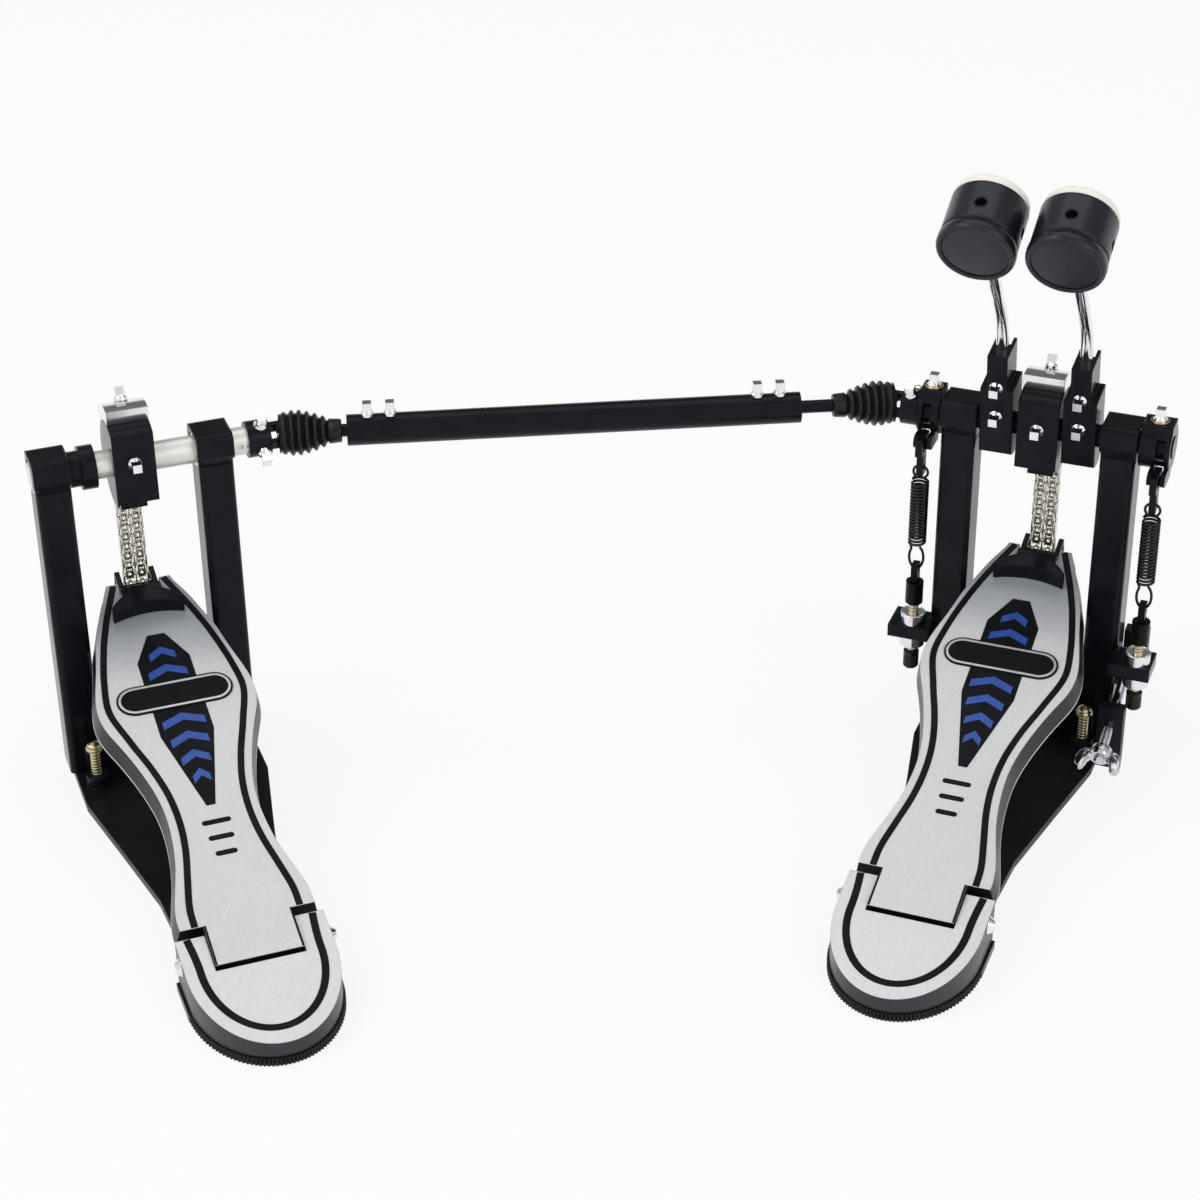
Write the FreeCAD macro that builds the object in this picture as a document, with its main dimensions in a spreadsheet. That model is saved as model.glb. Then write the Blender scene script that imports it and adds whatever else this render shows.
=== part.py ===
import FreeCAD, Part
import math
import os
import re
import Sketcher

os.makedirs("parts", exist_ok=True)
doc = FreeCAD.newDocument("double_pedal")
vec = FreeCAD.Vector

# Driving sizes in millimetres and degrees, by piece
sizes = {
    # fits and cuts
    "fit_gap": 0.05, "swing_gap": 0.5, "cut_over": 5,
    # base plate
    "base_thick": 5, "base_heel_half": 30, "base_waist_half": 34, "base_flare_half": 44,
    "base_wide_half": 53.5,
    "base_front_half": 50, "base_heel_back": 224.5, "base_waist_back": 150, "base_flare_back": 95,
    "base_wide_back": 45, "base_side_front": 26, "base_front": 46,
    # upright frame
    "axle_height": 197, "post_spacing": 92, "post_wide": 20, "post_deep": 23, "post_corner": 3,
    "head_half": 13, "head_up": 11.5, "head_down": 5, "head_corner": 4.5, "head_wide": 21,
    "groove_wide": 2, "groove_deep": 1.2,
    "bridge_tall": 16, "bridge_deep": 26,
    "ear_reach": 22, "ear_deep": 22, "ear_thick": 8, "ear_hang": 140.6,
    # bearings
    "bearing_radius": 9.8, "bearing_wide": 20,
    # heel plate, pad and hinge pin
    "hinge_back": 236.5, "hinge_high": 23.1, "pin_radius": 3, "pin_head_radius": 5, "pin_head_thick": 3,
    "heel_half": 40, "heel_round_back": 249.5, "heel_round_long": 53.7, "heel_ear_front": 225,
    "heel_rear_top": 14, "heel_slope": 12.5, "heel_block": 34, "notch_floor": 12, "notch_back": 249.5,
    "heel_foot_half": 22, "heel_foot_long": 24, "heel_foot_thick": 4, "pad_margin": 1.4,
    # footboard, along the board from the hinge
    "board_top": 8, "board_plate": 5, "board_wall": 3, "board_skirt": 13,
    "board_flare": 2.5, "tongue_half": 23.7, "tongue_back": 9.4, "tongue_thick": 6, "knuckle_radius": 7,
    "board_start": 17, "toe_notch_half": 12.2, "toe_notch_long": 8.5,
    # chain's end pin: about how high it hangs, how far above the hinge's plane, how far past the toe
    "toe_high": 101.75, "toe_pin_above": 1.962, "toe_short": 4.5,
    # toe block
    "stop_half": 20.5, "stop_long": 15.2, "stop_tall": 10, "stop_setback": 30.7, "stop_round": 106,
    "stop_back_round": 26, "stop_front_round": 57.2, "stop_front_bow": 4, "strap_thick": 2.5,
    "lug_inner_half": 8.6, "lug_thick": 3, "lug_margin": 2, "lug_slot": 3.4, "lug_slot_up": 1.3,
    # axles and sleeve
    "axle_radius": 6.5, "axle_core_radius": 4.2, "axle_right": 75.4, "axle_core_left": 62,
    "axle_step": 13.6,
    "slave_axle_radius": 8, "slave_axle_left": 57, "slave_axle_right": 71,
    "dimple_radius": 1.3, "dimple_deep": 1.5, "dimple_first": 61.5, "dimple_step": 4.5,
    # cam wheel and chain clamp
    "chain_pitch": 6.35, "wrap_step": 13, "rim_gap": 0.5, "cam_half": 11.8, "cam_flat": 12.8,
    "cam_bolt_up": 4, "lip_half": 7.5, "lip_back": 4, "lip_front": 13, "lip_low": 33, "lip_high": 20,
    "clamp_radius": 33.5, "clamp_gap": 0.2, "clamp_from": 42, "clamp_open": 60, "clamp_to": 98,
    "clamp_bolt_at": 68,
    "clamp_room_half": 7.9, "clamp_reach": 60,
    # chain
    "plate_thick": 0.8, "plate_half_tall": 2.9, "outer_plate_at": 6.85, "inner_near_at": 1.75,
    "inner_far_at": 5.3,
    "chain_pin_radius": 1.1, "bush_radius": 1.7, "toe_pin_radius": 1.4, "toe_pin_half": 11.7,
    # beaters
    "hub_lean": 8.5, "rod_lean": 37.5, "head_flat": 11, "rod_straight": 50.4, "rod_bend": 60, "rod_reach": 88,
    "hub_half": 9.4, "hub_deep": 22, "hub_tall": 50, "hub_ring_radius": 18.5,
    "hub_right_at": 23.3, "hub_left_at": 24.3, "hub_fork_half": 3.9, "hub_neck_half": 5.8,
    "hub_neck_low": 28, "hub_fork_low": 36, "hub_bore_low": 12,
    "hub_bolt_low": 10.5, "hub_bolt_step": 19.5,
    "beater_rod_radius": 3.6, "beater_rod_low": 24, "beater_rod_in": 4,
    "head_round": 21, "head_back": 17, "head_front": 14.5, "head_dome": 1, "head_lip": 6,
    "head_groove": 1.4,
    "head_groove_deep": 1, "head_hole_radius": 3.2, "head_hole_deep": 6, "felt_round": 20.4, "felt_long": 7,
    "felt_dome": 3, "felt_gap": 0.1,
    # rockers, hangers, springs and tension bolts
    "rocker_near": 57.4, "right_rocker_wide": 17.4, "left_rocker_wide": 13, "rocker_ring_radius": 13,
    "rocker_top": 15, "rocker_pad_half": 7, "rocker_core_radius": 8.7, "rocker_room_up": 8,
    "arm_back": 14, "arm_drop": 14, "arm_half": 4.2, "arm_thick": 2.6, "arm_slot_half": 2.5,
    "arm_pin_radius": 2,
    "right_spring_at": 69.4, "left_spring_at": 64.9, "spring_back": 16.9, "hanger_thick": 4,
    "hanger_eye_half": 7.8, "hanger_eye_tall": 5.3,
    "hanger_slot_half": 5.5, "hanger_slot_tall": 3, "hanger_neck_half": 3.2, "hanger_long": 14.2,
    "hanger_hole_radius": 2,
    "wire_radius": 0.8, "coil_radius": 4.7, "coil_hang": 80, "coil_count": 20, "coil_pitch": 2.16,
    "hook_radius": 3.2, "hook_rise": 5.4, "hook_drop": 13,
    "eye_tab_tall": 12, "eye_tab_over": 3.4, "eye_hole_radius": 2, "eye_radius": 5.2, "eye_tall": 14,
    "eye_tab_half": 2,
    "tension_radius": 3, "tension_hang": 159, "nut_radius": 7.2, "nut_tall": 6.6, "nut_gap": 0.1,
    # key bolts
    "key_flange_radius": 4, "key_flange_thick": 1.6, "key_cone_thick": 2, "key_square": 5,
    "key_square_tall": 6.5,
    "key_shank_radius": 2.4, "key_shank_long": 4,
    # universal joints and drive shaft
    "primary_joint_at": 90, "slave_joint_at": 88, "half_travel": 26, "yoke_hub_radius": 10.5,
    "yoke_hub_near": 70.8,
    "yoke_hub_gap": 9, "slave_yoke_near": 66, "yoke_bolt_setback": 14, "cross_radius": 1.8,
    "cross_half": 7.2,
    "cross_block": 6, "arm_inner": 4.6, "arm_outer": 7.4, "arm_side": 3.2, "arm_end": 4,
    "fork_hole_gap": 0.45,
    "fork_hub_near": 8.8, "fork_hub_thick": 5, "fork_hub_radius": 8.2, "shaft_radius": 3.75,
    "boot_behind": 2.5, "boot_ahead": 33, "boot_bore": 10.7, "boot_bore_long": 15, "boot_rib": 13.2,
    "boot_root": 11.8,
    "boot_end": 6.6, "boot_ribs": 5,
    "tube_radius": 9, "tube_start": 52, "tube_end": 36, "rod_in_tube": 105, "tube_bolt_first": 12,
    "tube_bolt_step": 13,
    # stop collar on the slave axle
    "collar_at": 24.9, "collar_half": 4.2, "collar_radius": 12.5,
    "collar_neck_radius": 10.2, "collar_neck": 6,
    # floor spurs
    "spur_at": 43, "spur_back": 26, "spur_radius": 3, "spur_head_radius": 5, "spur_top": 34, "spur_tip": 1,
    "spur_boss_radius": 6.5, "spur_boss_tall": 12,
    # hoop clamp
    "screw_at": 59.8, "screw_high": 25.6, "screw_slope": 15.7, "screw_pass": 47, "screw_radius": 3,
    "screw_front": 78, "knob_start": 6, "knob_long": 17,
    "knob_radius": 8, "knob_neck_radius": 5.5, "lug_post_half": 7.5, "lug_post_deep": 8,
    "lug_post_back": 34, "lug_post_tall": 40,
    "jaw_half": 20, "jaw_axis_front": 24, "jaw_axis_high": 21, "jaw_eye_radius": 5, "jaw_front": 50,
    "jaw_low": 17,
    "jaw_thick": 7, "jaw_tail_near": 30.2, "jaw_tail_deep": 8, "jaw_tail_over": 7, "jaw_tail_top": 56,
    "jaw_lug_thick": 5, "jaw_lug_gap": 0.5, "jaw_pin_radius": 2.5, "jaw_grip_deep": 9,
    "hoop_pad_tall": 3,
    # slave pedal on the floor, seen from the primary axle
    "slave_x": -468.9, "slave_y": -211.6, "slave_turn": 41,
}
board_stations = [("board_start", 36.2), ("board_heel_in", 35.6), ("board_narrow", 31.2),
                  ("board_taper", 26.9), ("board_waist", 25.2), ("board_flank", 26.5),
                  ("board_swell", 31), ("board_rise", 38.2),
                  ("board_wide", 44.4), ("board_shoulder", 41.3), ("board_post", 35.6),
                  ("board_gate", 32.1), ("board_neck", 28.1), ("board_throat", 23.6), ("board_length", 18.8)]
station_shares = {"board_heel_in": 0.1105, "board_narrow": 0.1768, "board_taper": 0.2505,
                  "board_waist": 0.3241, "board_flank": 0.3978, "board_swell": 0.4715, "board_rise": 0.5525,
                  "board_wide": 0.6335, "board_shoulder": 0.7219, "board_post": 0.8177, "board_gate": 0.8637,
                  "board_neck": 0.9098, "board_throat": 0.9540}
for name, half in board_stations:
    sizes[name + "_half"] = half

# Links that hang from the cam to the toe, an odd number so that both ends are outer links
wrap_links = 4
drop_pairs = round(((sizes["axle_height"] - sizes["toe_high"]) / sizes["chain_pitch"] - 1) / 2)
drop_links = 2 * drop_pairs + 1

# Sizes worked out from the driving ones: the board hangs on its chain and ends short of the chain's pin
worked = {
    "coil_low": "axle_height-coil_hang", "ear_low": "axle_height-ear_hang",
    "tension_low": "axle_height-tension_hang",
    "toe_ahead": "chain_pitch/(2*sin(wrap_step/2))+hinge_back",
    "toe_rise": "axle_height-%d*chain_pitch-hinge_high" % drop_links,
    "toe_reach": "sqrt(toe_ahead^2+toe_rise^2)",
    "board_slope": "atan(toe_rise/toe_ahead)-asin(toe_pin_above/toe_reach)",
    "toe_along": "sqrt(toe_reach^2-toe_pin_above^2)",
    "board_length": "toe_along-toe_short", "stop_at": "board_length-stop_setback",
}
for name, share in station_shares.items():
    worked[name] = "%s*board_length" % share

# Sheet of driving sizes
sheet = doc.addObject("Spreadsheet::Sheet", "dims")
for row, (name, value) in enumerate(sizes.items(), 1):
    sheet.set("A%d" % row, name)
    sheet.set("B%d" % row, str(value))
    sheet.setAlias("B%d" % row, name)
doc.recompute()
for row, (name, formula) in enumerate(worked.items(), len(sizes) + 1):
    sheet.set("A%d" % row, name)
    sheet.set("B%d" % row, "=" + formula)
    sheet.setAlias("B%d" % row, name)
    doc.recompute()


# Names in an expression point at the sheet
def bound(text):
    return re.sub(r"[a-z]+(_[a-z]+)*", lambda w: "dims." + w[0] if w[0] in sizes or w[0] in worked else w[0],
                  text)


def num(text):
    value = sheet.evalExpression(bound(text))
    return float(getattr(value, "Value", value))


def tie(thing, **props):
    for prop, text in props.items():
        thing.setExpression(prop, bound(text))
    return thing


def put(thing, at):
    for axis, text in zip("xyz", at):
        if text != "0":
            thing.setExpression("Placement.Base." + axis, bound(text))
    return thing


# Turns that lay a piece built along z onto another axis
quarter = 90
lay = {"z": FreeCAD.Rotation(), "x": FreeCAD.Rotation(vec(0, 1, 0), quarter),
       "y": FreeCAD.Rotation(vec(1, 0, 0), -quarter)}
facing = {"up": FreeCAD.Rotation(), "front": FreeCAD.Rotation(vec(1, 0, 0), quarter),
          "side": FreeCAD.Rotation(vec(0, 1, 0), vec(0, 0, 1), vec(1, 0, 0))}


def box(name, long, deep, tall, at):
    return put(tie(doc.addObject("Part::Box", name), Length=long, Width=deep, Height=tall), at)


def slab(name, half, deep, tall, y, z):
    return box(name, "2*(%s)" % half, deep, tall, ("-(%s)" % half, y, z))


def rod(name, radius, long, at, along="z"):
    thing = tie(doc.addObject("Part::Cylinder", name), Radius=radius, Height=long)
    thing.Placement.Rotation = lay[along]
    return put(thing, at)


def cone(name, first, second, long, at, along="z"):
    thing = tie(doc.addObject("Part::Cone", name), Radius1=first, Radius2=second, Height=long)
    thing.Placement.Rotation = lay[along]
    return put(thing, at)


def fuse(name, *things):
    whole = doc.addObject("Part::MultiFuse", name)
    whole.Shapes = list(things)
    return whole


def cut(name, base, *tools):
    thing = doc.addObject("Part::Cut", name)
    thing.Base = base
    thing.Tool = tools[0] if len(tools) == 1 else fuse(name + "_tools", *tools)
    return thing


def common(name, first, second):
    thing = doc.addObject("Part::Common", name)
    thing.Base = first
    thing.Tool = second
    return thing


# Closed outline of straight lines whose corners follow the sheet
def outline(name, points, plane="up"):
    sketch = doc.addObject("Sketcher::SketchObject", name)
    sketch.Placement.Rotation = facing[plane]
    spots = [vec(num(a), num(b), 0) for a, b in points]
    count = len(points)
    for i in range(count):
        sketch.addGeometry(Part.LineSegment(spots[i], spots[(i + 1) % count]))
    for i in range(count):
        sketch.addConstraint(Sketcher.Constraint("Coincident", i, 2, (i + 1) % count, 1))
    for i, corner in enumerate(points):
        for kind, text, line in (("DistanceX", corner[0], -2), ("DistanceY", corner[1], -1)):
            if text == "0":
                sketch.addConstraint(Sketcher.Constraint("PointOnObject", i, 1, line))
            else:
                spot = sketch.addConstraint(Sketcher.Constraint(kind, -1, 1, i, 1, num(text)))
                sketch.setExpression("Constraints[%d]" % spot, bound(text))
    return sketch


def extrude(name, sketch, way, long, half=False):
    thing = doc.addObject("Part::Extrusion", name)
    thing.Base = sketch
    thing.DirMode = "Custom"
    thing.Dir = way
    thing.Solid = True
    thing.Symmetric = half
    return tie(thing, LengthFwd=long)


def spin(name, sketch, axis):
    thing = doc.addObject("Part::Revolution", name)
    thing.Source = sketch
    thing.Axis = axis
    thing.Solid = True
    return thing


def loft(name, sections):
    thing = doc.addObject("Part::Loft", name)
    thing.Sections = sections
    thing.Solid = True
    return thing


# Same shape set down again at another place
def again(name, thing, place):
    link = doc.addObject("App::Link", name)
    link.LinkedObject = thing
    link.LinkTransform = True
    link.Placement = place
    return link


# Each node gathers its solids under its own name and place
nodes = {}
slave_place = {"Placement.Base.x": "slave_x", "Placement.Base.y": "slave_y",
               "Placement.Rotation.Angle": "slave_turn"}


def node(name, things, place=None):
    whole = doc.addObject("Part::Compound", name)
    whole.Label = name
    whole.Links = things
    if place == slave_place:
        whole.Placement.Rotation = FreeCAD.Rotation(vec(0, 0, 1), num("slave_turn"))
        for prop, text in place.items():
            whole.setExpression(prop, bound(text))
    elif place is not None:
        whole.Placement = place
    nodes[name] = whole
    return whole


def turned(angle, at=("0", "0", "0"), axis=vec(1, 0, 0)):
    return FreeCAD.Placement(vec(*[num(t) for t in at]), FreeCAD.Rotation(axis, num(angle)))


# Rounded corners on the straight edges along one way
def rounded(name, base, radius, way):
    doc.recompute()
    thing = doc.addObject("Part::Fillet", name)
    thing.Base = base
    size = num(radius)
    picks = []
    for i, edge in enumerate(base.Shape.Edges, 1):
        straight = edge.Curve.TypeId == "Part::GeomLine"
        if straight and abs(edge.tangentAt(edge.FirstParameter).dot(way)) > 0.999:
            picks.append((i, size, size))
    thing.Edges = picks
    return thing


# Square-headed key bolt, seat at its own zero, head along z
key_body = fuse("key_bolt", rod("key_flange", "key_flange_radius", "key_flange_thick", ("0", "0", "0")),
                cone("key_cone", "key_flange_radius", "key_square/2", "key_cone_thick",
                     ("0", "0", "key_flange_thick")),
                slab("key_head", "key_square/2", "key_square", "key_square_tall", "-key_square/2",
                     "key_flange_thick"),
                rod("key_shank", "key_shank_radius", "key_shank_long+key_flange_thick",
                    ("0", "0", "-key_shank_long")))
key_hole = rod("key_hole", "key_shank_radius+fit_gap", "key_shank_long+fit_gap+cut_over",
               ("0", "0", "-key_shank_long-fit_gap"))


def seat(at, turn):
    return FreeCAD.Placement(vec(*[num(t) for t in at]), turn)


def bolts(name, seats):
    return [again("%s_%d" % (name, i), key_body, place) for i, place in enumerate(seats)]


def holes(name, seats):
    return [again("%s_hole_%d" % (name, i), key_hole, place) for i, place in enumerate(seats)]


up = FreeCAD.Rotation()
to_player = FreeCAD.Rotation(vec(1, 0, 0), quarter)
to_drum = FreeCAD.Rotation(vec(1, 0, 0), -quarter)

# Chain links in two kinds, from one pin at zero to the next along z
pitch = "chain_pitch"


def stadium(name, x):
    sides = "plate_half_tall"
    return fuse(name, rod(name + "_low", sides, "plate_thick", (x, "0", "0"), "x"),
                rod(name + "_high", sides, "plate_thick", (x, "0", pitch), "x"),
                box(name + "_web", "plate_thick", "2*" + sides, pitch, (x, "-" + sides, "0")))


def pins(name, radius, half, x="0"):
    return [rod(name + "_low", radius, "2*(%s)" % half, ("%s-(%s)" % (x, half), "0", "0"), "x"),
            rod(name + "_high", radius, "2*(%s)" % half, ("%s-(%s)" % (x, half), "0", pitch), "x")]


outer_half = "outer_plate_at+plate_thick/2"
outer_link = fuse("outer_link", stadium("outer_left", "-outer_plate_at-plate_thick/2"),
                  stadium("outer_mid", "-plate_thick/2"),
                  stadium("outer_right", "outer_plate_at-plate_thick/2"),
                  *pins("outer_pins", "chain_pin_radius", outer_half))
toe_link = fuse("toe_link", outer_link,
                rod("toe_pin", "toe_pin_radius", "2*toe_pin_half", ("-toe_pin_half", "0", "0"), "x"))
inner_strands = []
for side, sign in (("left", "-"), ("right", "")):
    mid = "%s(inner_near_at+inner_far_at)/2" % sign
    reach = "(inner_far_at-inner_near_at)/2"
    strand = fuse("inner_" + side, stadium("inner_near_" + side, "%sinner_near_at-plate_thick/2" % sign),
                  stadium("inner_far_" + side, "%sinner_far_at-plate_thick/2" % sign),
                  *pins("bush_" + side, "bush_radius", reach, mid))
    inner_strands.append(cut("inner_strand_" + side, strand,
                             *pins("bore_" + side, "chain_pin_radius+fit_gap", "inner_far_at+cut_over")))
inner_link = doc.addObject("Part::Compound", "inner_link")
inner_link.Links = inner_strands

cam_pitch = "(chain_pitch/(2*sin(wrap_step/2)))"
rim = "(%s-plate_half_tall-rim_gap)" % cam_pitch


# Chain hung over the drum side of a cam: links on the rim, then straight links down to the toe
def chain(prefix, place):
    radius = num(cam_pitch)
    step = math.radians(num("wrap_step"))
    high = num("axle_height")
    upper = []
    for k in range(wrap_links):
        low = step * (wrap_links - k - 1)
        lean = math.degrees(low + step / 2)
        spot = vec(0, radius * math.cos(low), high + radius * math.sin(low))
        kind = outer_link if k % 2 == 0 else inner_link
        upper.append(again("%s_upper_%d" % (prefix, k), kind,
                           FreeCAD.Placement(spot, FreeCAD.Rotation(vec(1, 0, 0), lean))))
    node(prefix + "_chain_upper", upper, place)
    drop = []
    for k in range(drop_links):
        kind = toe_link if k == drop_links - 1 else outer_link if k % 2 == 0 else inner_link
        spot = vec(0, radius, high - (k + 1) * num(pitch))
        drop.append(again("%s_drop_%d" % (prefix, k), kind, FreeCAD.Placement(spot, up)))
    node(prefix + "_chain_drop", drop, place)


# Hoop-clamp screw slopes down to the player along the right column
screw_place = turned("screw_slope", ("screw_at", "-screw_pass", "screw_high"))


# One pedal: base, uprights, heel, board, axle bearings, cam, chain and spur
def pedal(prefix, place, shaft, spur_side):
    def tag(name):
        return prefix + "_" + name

    # base plate with the boss of the floor spur
    half = ["base_heel_half", "base_waist_half", "base_flare_half", "base_wide_half", "base_wide_half",
            "base_front_half"]
    along = ["-base_heel_back", "-base_waist_back", "-base_flare_back", "-base_wide_back",
             "base_side_front",
             "base_front"]
    ring = list(zip(half, along)) + [("-" + x, y) for x, y in reversed(list(zip(half, along)))]
    plate = extrude(tag("base_sheet"), outline(tag("base_outline"), ring), vec(0, 0, 1), "base_thick")
    spur_x = spur_side + "spur_at"
    boss = rod(tag("spur_boss"), "spur_boss_radius", "spur_boss_tall", (spur_x, "-spur_back", "0"))
    bore = rod(tag("spur_bore"), "spur_radius+fit_gap", "spur_boss_tall+2*cut_over",
               (spur_x, "-spur_back", "-cut_over"))
    pieces = [plate, boss]
    cuts = [bore]
    if prefix == "primary":
        lug = slab(tag("screw_lug"), "lug_post_half", "lug_post_deep", "lug_post_tall", "-lug_post_back",
                   "0")
        lug.setExpression("Placement.Base.x", bound("screw_at-lug_post_half"))
        pieces.append(lug)
        cuts.append(again(tag("screw_hole"), rod(tag("screw_bore"), "screw_radius+fit_gap", "screw_front",
                                                 ("0", "0", "0"), "y"), screw_place))
        for side, sign in (("left", "-"), ("right", "")):
            near = "jaw_half+jaw_lug_gap" if sign == "" else "-jaw_half-jaw_lug_gap-jaw_lug_thick"
            pieces.append(box(tag("jaw_lug_" + side), "jaw_lug_thick", "2*jaw_eye_radius", "jaw_axis_high",
                              (near, "jaw_axis_front-jaw_eye_radius", "0")))
            pieces.append(rod(tag("jaw_lug_round_" + side), "jaw_eye_radius", "jaw_lug_thick",
                              (near, "jaw_axis_front", "jaw_axis_high"), "x"))
        pieces.append(rod(tag("jaw_pin"), "jaw_pin_radius", "2*(jaw_half+jaw_lug_gap+jaw_lug_thick)",
                          ("-jaw_half-jaw_lug_gap-jaw_lug_thick", "jaw_axis_front", "jaw_axis_high"), "x"))
        pieces.append(slab(tag("hoop_pad"), "jaw_half", "jaw_grip_deep", "hoop_pad_tall",
                           "base_front-jaw_grip_deep",
                           "base_thick"))
    base = cut(tag("base_body"), fuse(tag("base_blank"), *pieces), *cuts)
    node(tag("base_plate"), [base], place)

    # floor spur: shank, domed head and point
    shank = rod(tag("spur_shank"), "spur_radius", "spur_top-spur_tip-2*spur_radius",
                (spur_x, "-spur_back", "spur_tip+spur_radius"))
    tip = cone(tag("spur_point"), "spur_radius/6", "spur_radius", "spur_radius",
               (spur_x, "-spur_back", "spur_tip"))
    dome = tie(doc.addObject("Part::Sphere", tag("spur_ball")), Radius="spur_head_radius")
    put(dome, (spur_x, "-spur_back", "spur_top-spur_head_radius"))
    flat = rod(tag("spur_flat"), "spur_head_radius", "spur_head_radius",
               (spur_x, "-spur_back", "spur_top-spur_head_radius"))
    node(tag("spur"), [fuse(tag("spur_body"), shank, tip, common(tag("spur_dome"), dome, flat))], place)

    # upright frame: two columns with round bearing heads and a bridge
    parts = [slab(tag("bridge"), "post_spacing/2", "bridge_deep", "bridge_tall", "-bridge_deep/2",
                  "base_thick")]
    tools = []
    for side, sign in (("left", "-"), ("right", "")):
        mid = "%spost_spacing/2" % sign
        column = box(tag("column_" + side), "post_wide", "post_deep", "axle_height-base_thick",
                     (mid + "-post_wide/2", "-post_deep/2", "base_thick"))
        parts.append(rounded(tag("column_round_" + side), column, "post_corner", vec(0, 0, 1)))
        head = box(tag("head_" + side), "head_wide", "2*head_half", "head_up+head_down",
                   (mid + "-head_wide/2", "-head_half", "axle_height-head_down"))
        parts.append(rounded(tag("head_round_" + side), head, "head_corner", vec(1, 0, 0)))
        tools.append(rod(tag("head_bore_" + side), "bearing_radius+fit_gap", "head_wide+2*cut_over",
                         (mid + "-head_wide/2-cut_over", "0", "axle_height"), "x"))
        for face, edge in (("player", "-post_deep/2-cut_over"), ("drum", "post_deep/2-groove_deep")):
            tools.append(box(tag("groove_%s_%s" % (face, side)), "head_wide+2*cut_over",
                             "cut_over+groove_deep",
                             "groove_wide", (mid + "-head_wide/2-cut_over", edge,
                                             "axle_height-head_down-groove_wide")))
        if prefix == "primary":
            ear_x = "post_spacing/2+post_wide/2-post_corner"
            reach = "ear_reach+post_corner"
            start = ear_x if sign == "" else "-(%s)-(%s)" % (ear_x, reach)
            parts.append(box(tag("ear_" + side), reach, "ear_deep", "ear_thick",
                             (start, "-spring_back-ear_deep/2+post_corner", "ear_low")))
            tools.append(rod(tag("ear_hole_" + side), "tension_radius+fit_gap", "ear_thick+2*cut_over",
                             ("%s%s_spring_at" % (sign, side), "-spring_back", "ear_low-cut_over")))
    frame = cut(tag("uprights"), fuse(tag("uprights_blank"), *parts), *tools)
    node(tag("upright_frame"), [frame], place)

    # bearings in the heads
    rings = []
    for side, sign in (("left", "-"), ("right", "")):
        left = "%spost_spacing/2-bearing_wide/2" % sign
        rings.append(cut(tag("bearing_" + side), rod(tag("race_" + side), "bearing_radius", "bearing_wide",
                                                     (left, "0", "axle_height"), "x"),
                         rod(tag("race_bore_" + side), shaft + "+fit_gap", "bearing_wide+2*cut_over",
                             (left + "-cut_over", "0", "axle_height"), "x")))
    node(tag("axle_bearings"), rings, place)

    # heel plate: rounded rear, ears at the hinge, sloping top, foot on the base plate
    def rear(name, margin, low, tall):
        oval = tie(doc.addObject("Part::Ellipse", tag(name + "_oval")),
                   MajorRadius="heel_round_long+" + margin,
                   MinorRadius="heel_half+" + margin)
        oval.Placement.Rotation = FreeCAD.Rotation(vec(0, 0, 1), quarter)
        put(oval, ("0", "-heel_round_back", low))
        disc = extrude(tag(name + "_disc"), oval, vec(0, 0, 1), tall)
        keep = slab(tag(name + "_keep"), "heel_half+cut_over", "heel_round_long+cut_over", tall,
                    "-heel_round_back-heel_round_long-cut_over", low)
        front = slab(tag(name + "_front"), "heel_half+" + margin, "heel_round_back-heel_ear_front-fit_gap",
                     tall,
                     "-heel_round_back", low)
        return fuse(tag(name + "_blank"), common(tag(name + "_half"), disc, keep), front)

    blank = fuse(tag("heel_blank_all"), rear("heel", "0", "base_thick", "heel_block"),
                 slab(tag("heel_foot"), "heel_foot_half", "heel_foot_long+heel_round_back-heel_ear_front",
                      "heel_foot_thick", "-heel_round_back", "base_thick"))
    rear_end = "heel_round_back+heel_round_long"
    slope = slab(tag("heel_slope"), "heel_half+cut_over", "2*heel_round_long+cut_over", "2*heel_block",
                 "-(%s)" % rear_end, "heel_rear_top")
    slope.Placement.Rotation = FreeCAD.Rotation(vec(1, 0, 0), num("heel_slope"))
    slope.setExpression("Placement.Rotation.Angle", bound("heel_slope"))
    notch = slab(tag("heel_notch"), "tongue_half+swing_gap", "notch_back-heel_ear_front+cut_over",
                 "2*heel_block",
                 "-notch_back", "notch_floor")
    pin_hole = rod(tag("heel_pin_hole"), "pin_radius+fit_gap", "2*heel_half+2*cut_over",
                   ("-heel_half-cut_over", "-hinge_back", "hinge_high"), "x")
    node(tag("heel_plate"), [cut(tag("heel_body"), blank, slope, notch, pin_hole)], place)

    # ribbed rubber pad under the heel
    pad = rear("pad", "pad_margin", "0", "base_thick")
    node(tag("heel_pad"), [pad], place)

    # hinge pin with flat-domed ends
    pin = [rod(tag("pin_bar"), "pin_radius", "2*(heel_half+fit_gap)",
               ("-heel_half-fit_gap", "-hinge_back", "hinge_high"), "x")]
    pin.append(cone(tag("pin_end_right"), "pin_head_radius", "pin_radius", "pin_head_thick",
                    ("heel_half+fit_gap", "-hinge_back", "hinge_high"), "x"))
    pin.append(cone(tag("pin_end_left"), "pin_radius", "pin_head_radius", "pin_head_thick",
                    ("-heel_half-fit_gap-pin_head_thick", "-hinge_back", "hinge_high"), "x"))
    node(tag("hinge_pin"), [fuse(tag("pin_body"), *pin)], place)

    # footboard: lofted hourglass shell, tongue and knuckle at the hinge
    def section(name, station, inset, top, low, shift):
        wide = "%s_half-%s" % (station, inset)
        flare = "%s+board_flare" % wide
        ring = [(wide, top), (flare, low), ("-(%s)" % flare, low), ("-(%s)" % wide, top)]
        sketch = outline(tag("%s_%s" % (name, station)), ring, "front")
        sketch.setExpression("Placement.Base.y", bound(station + shift))
        return sketch

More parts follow.
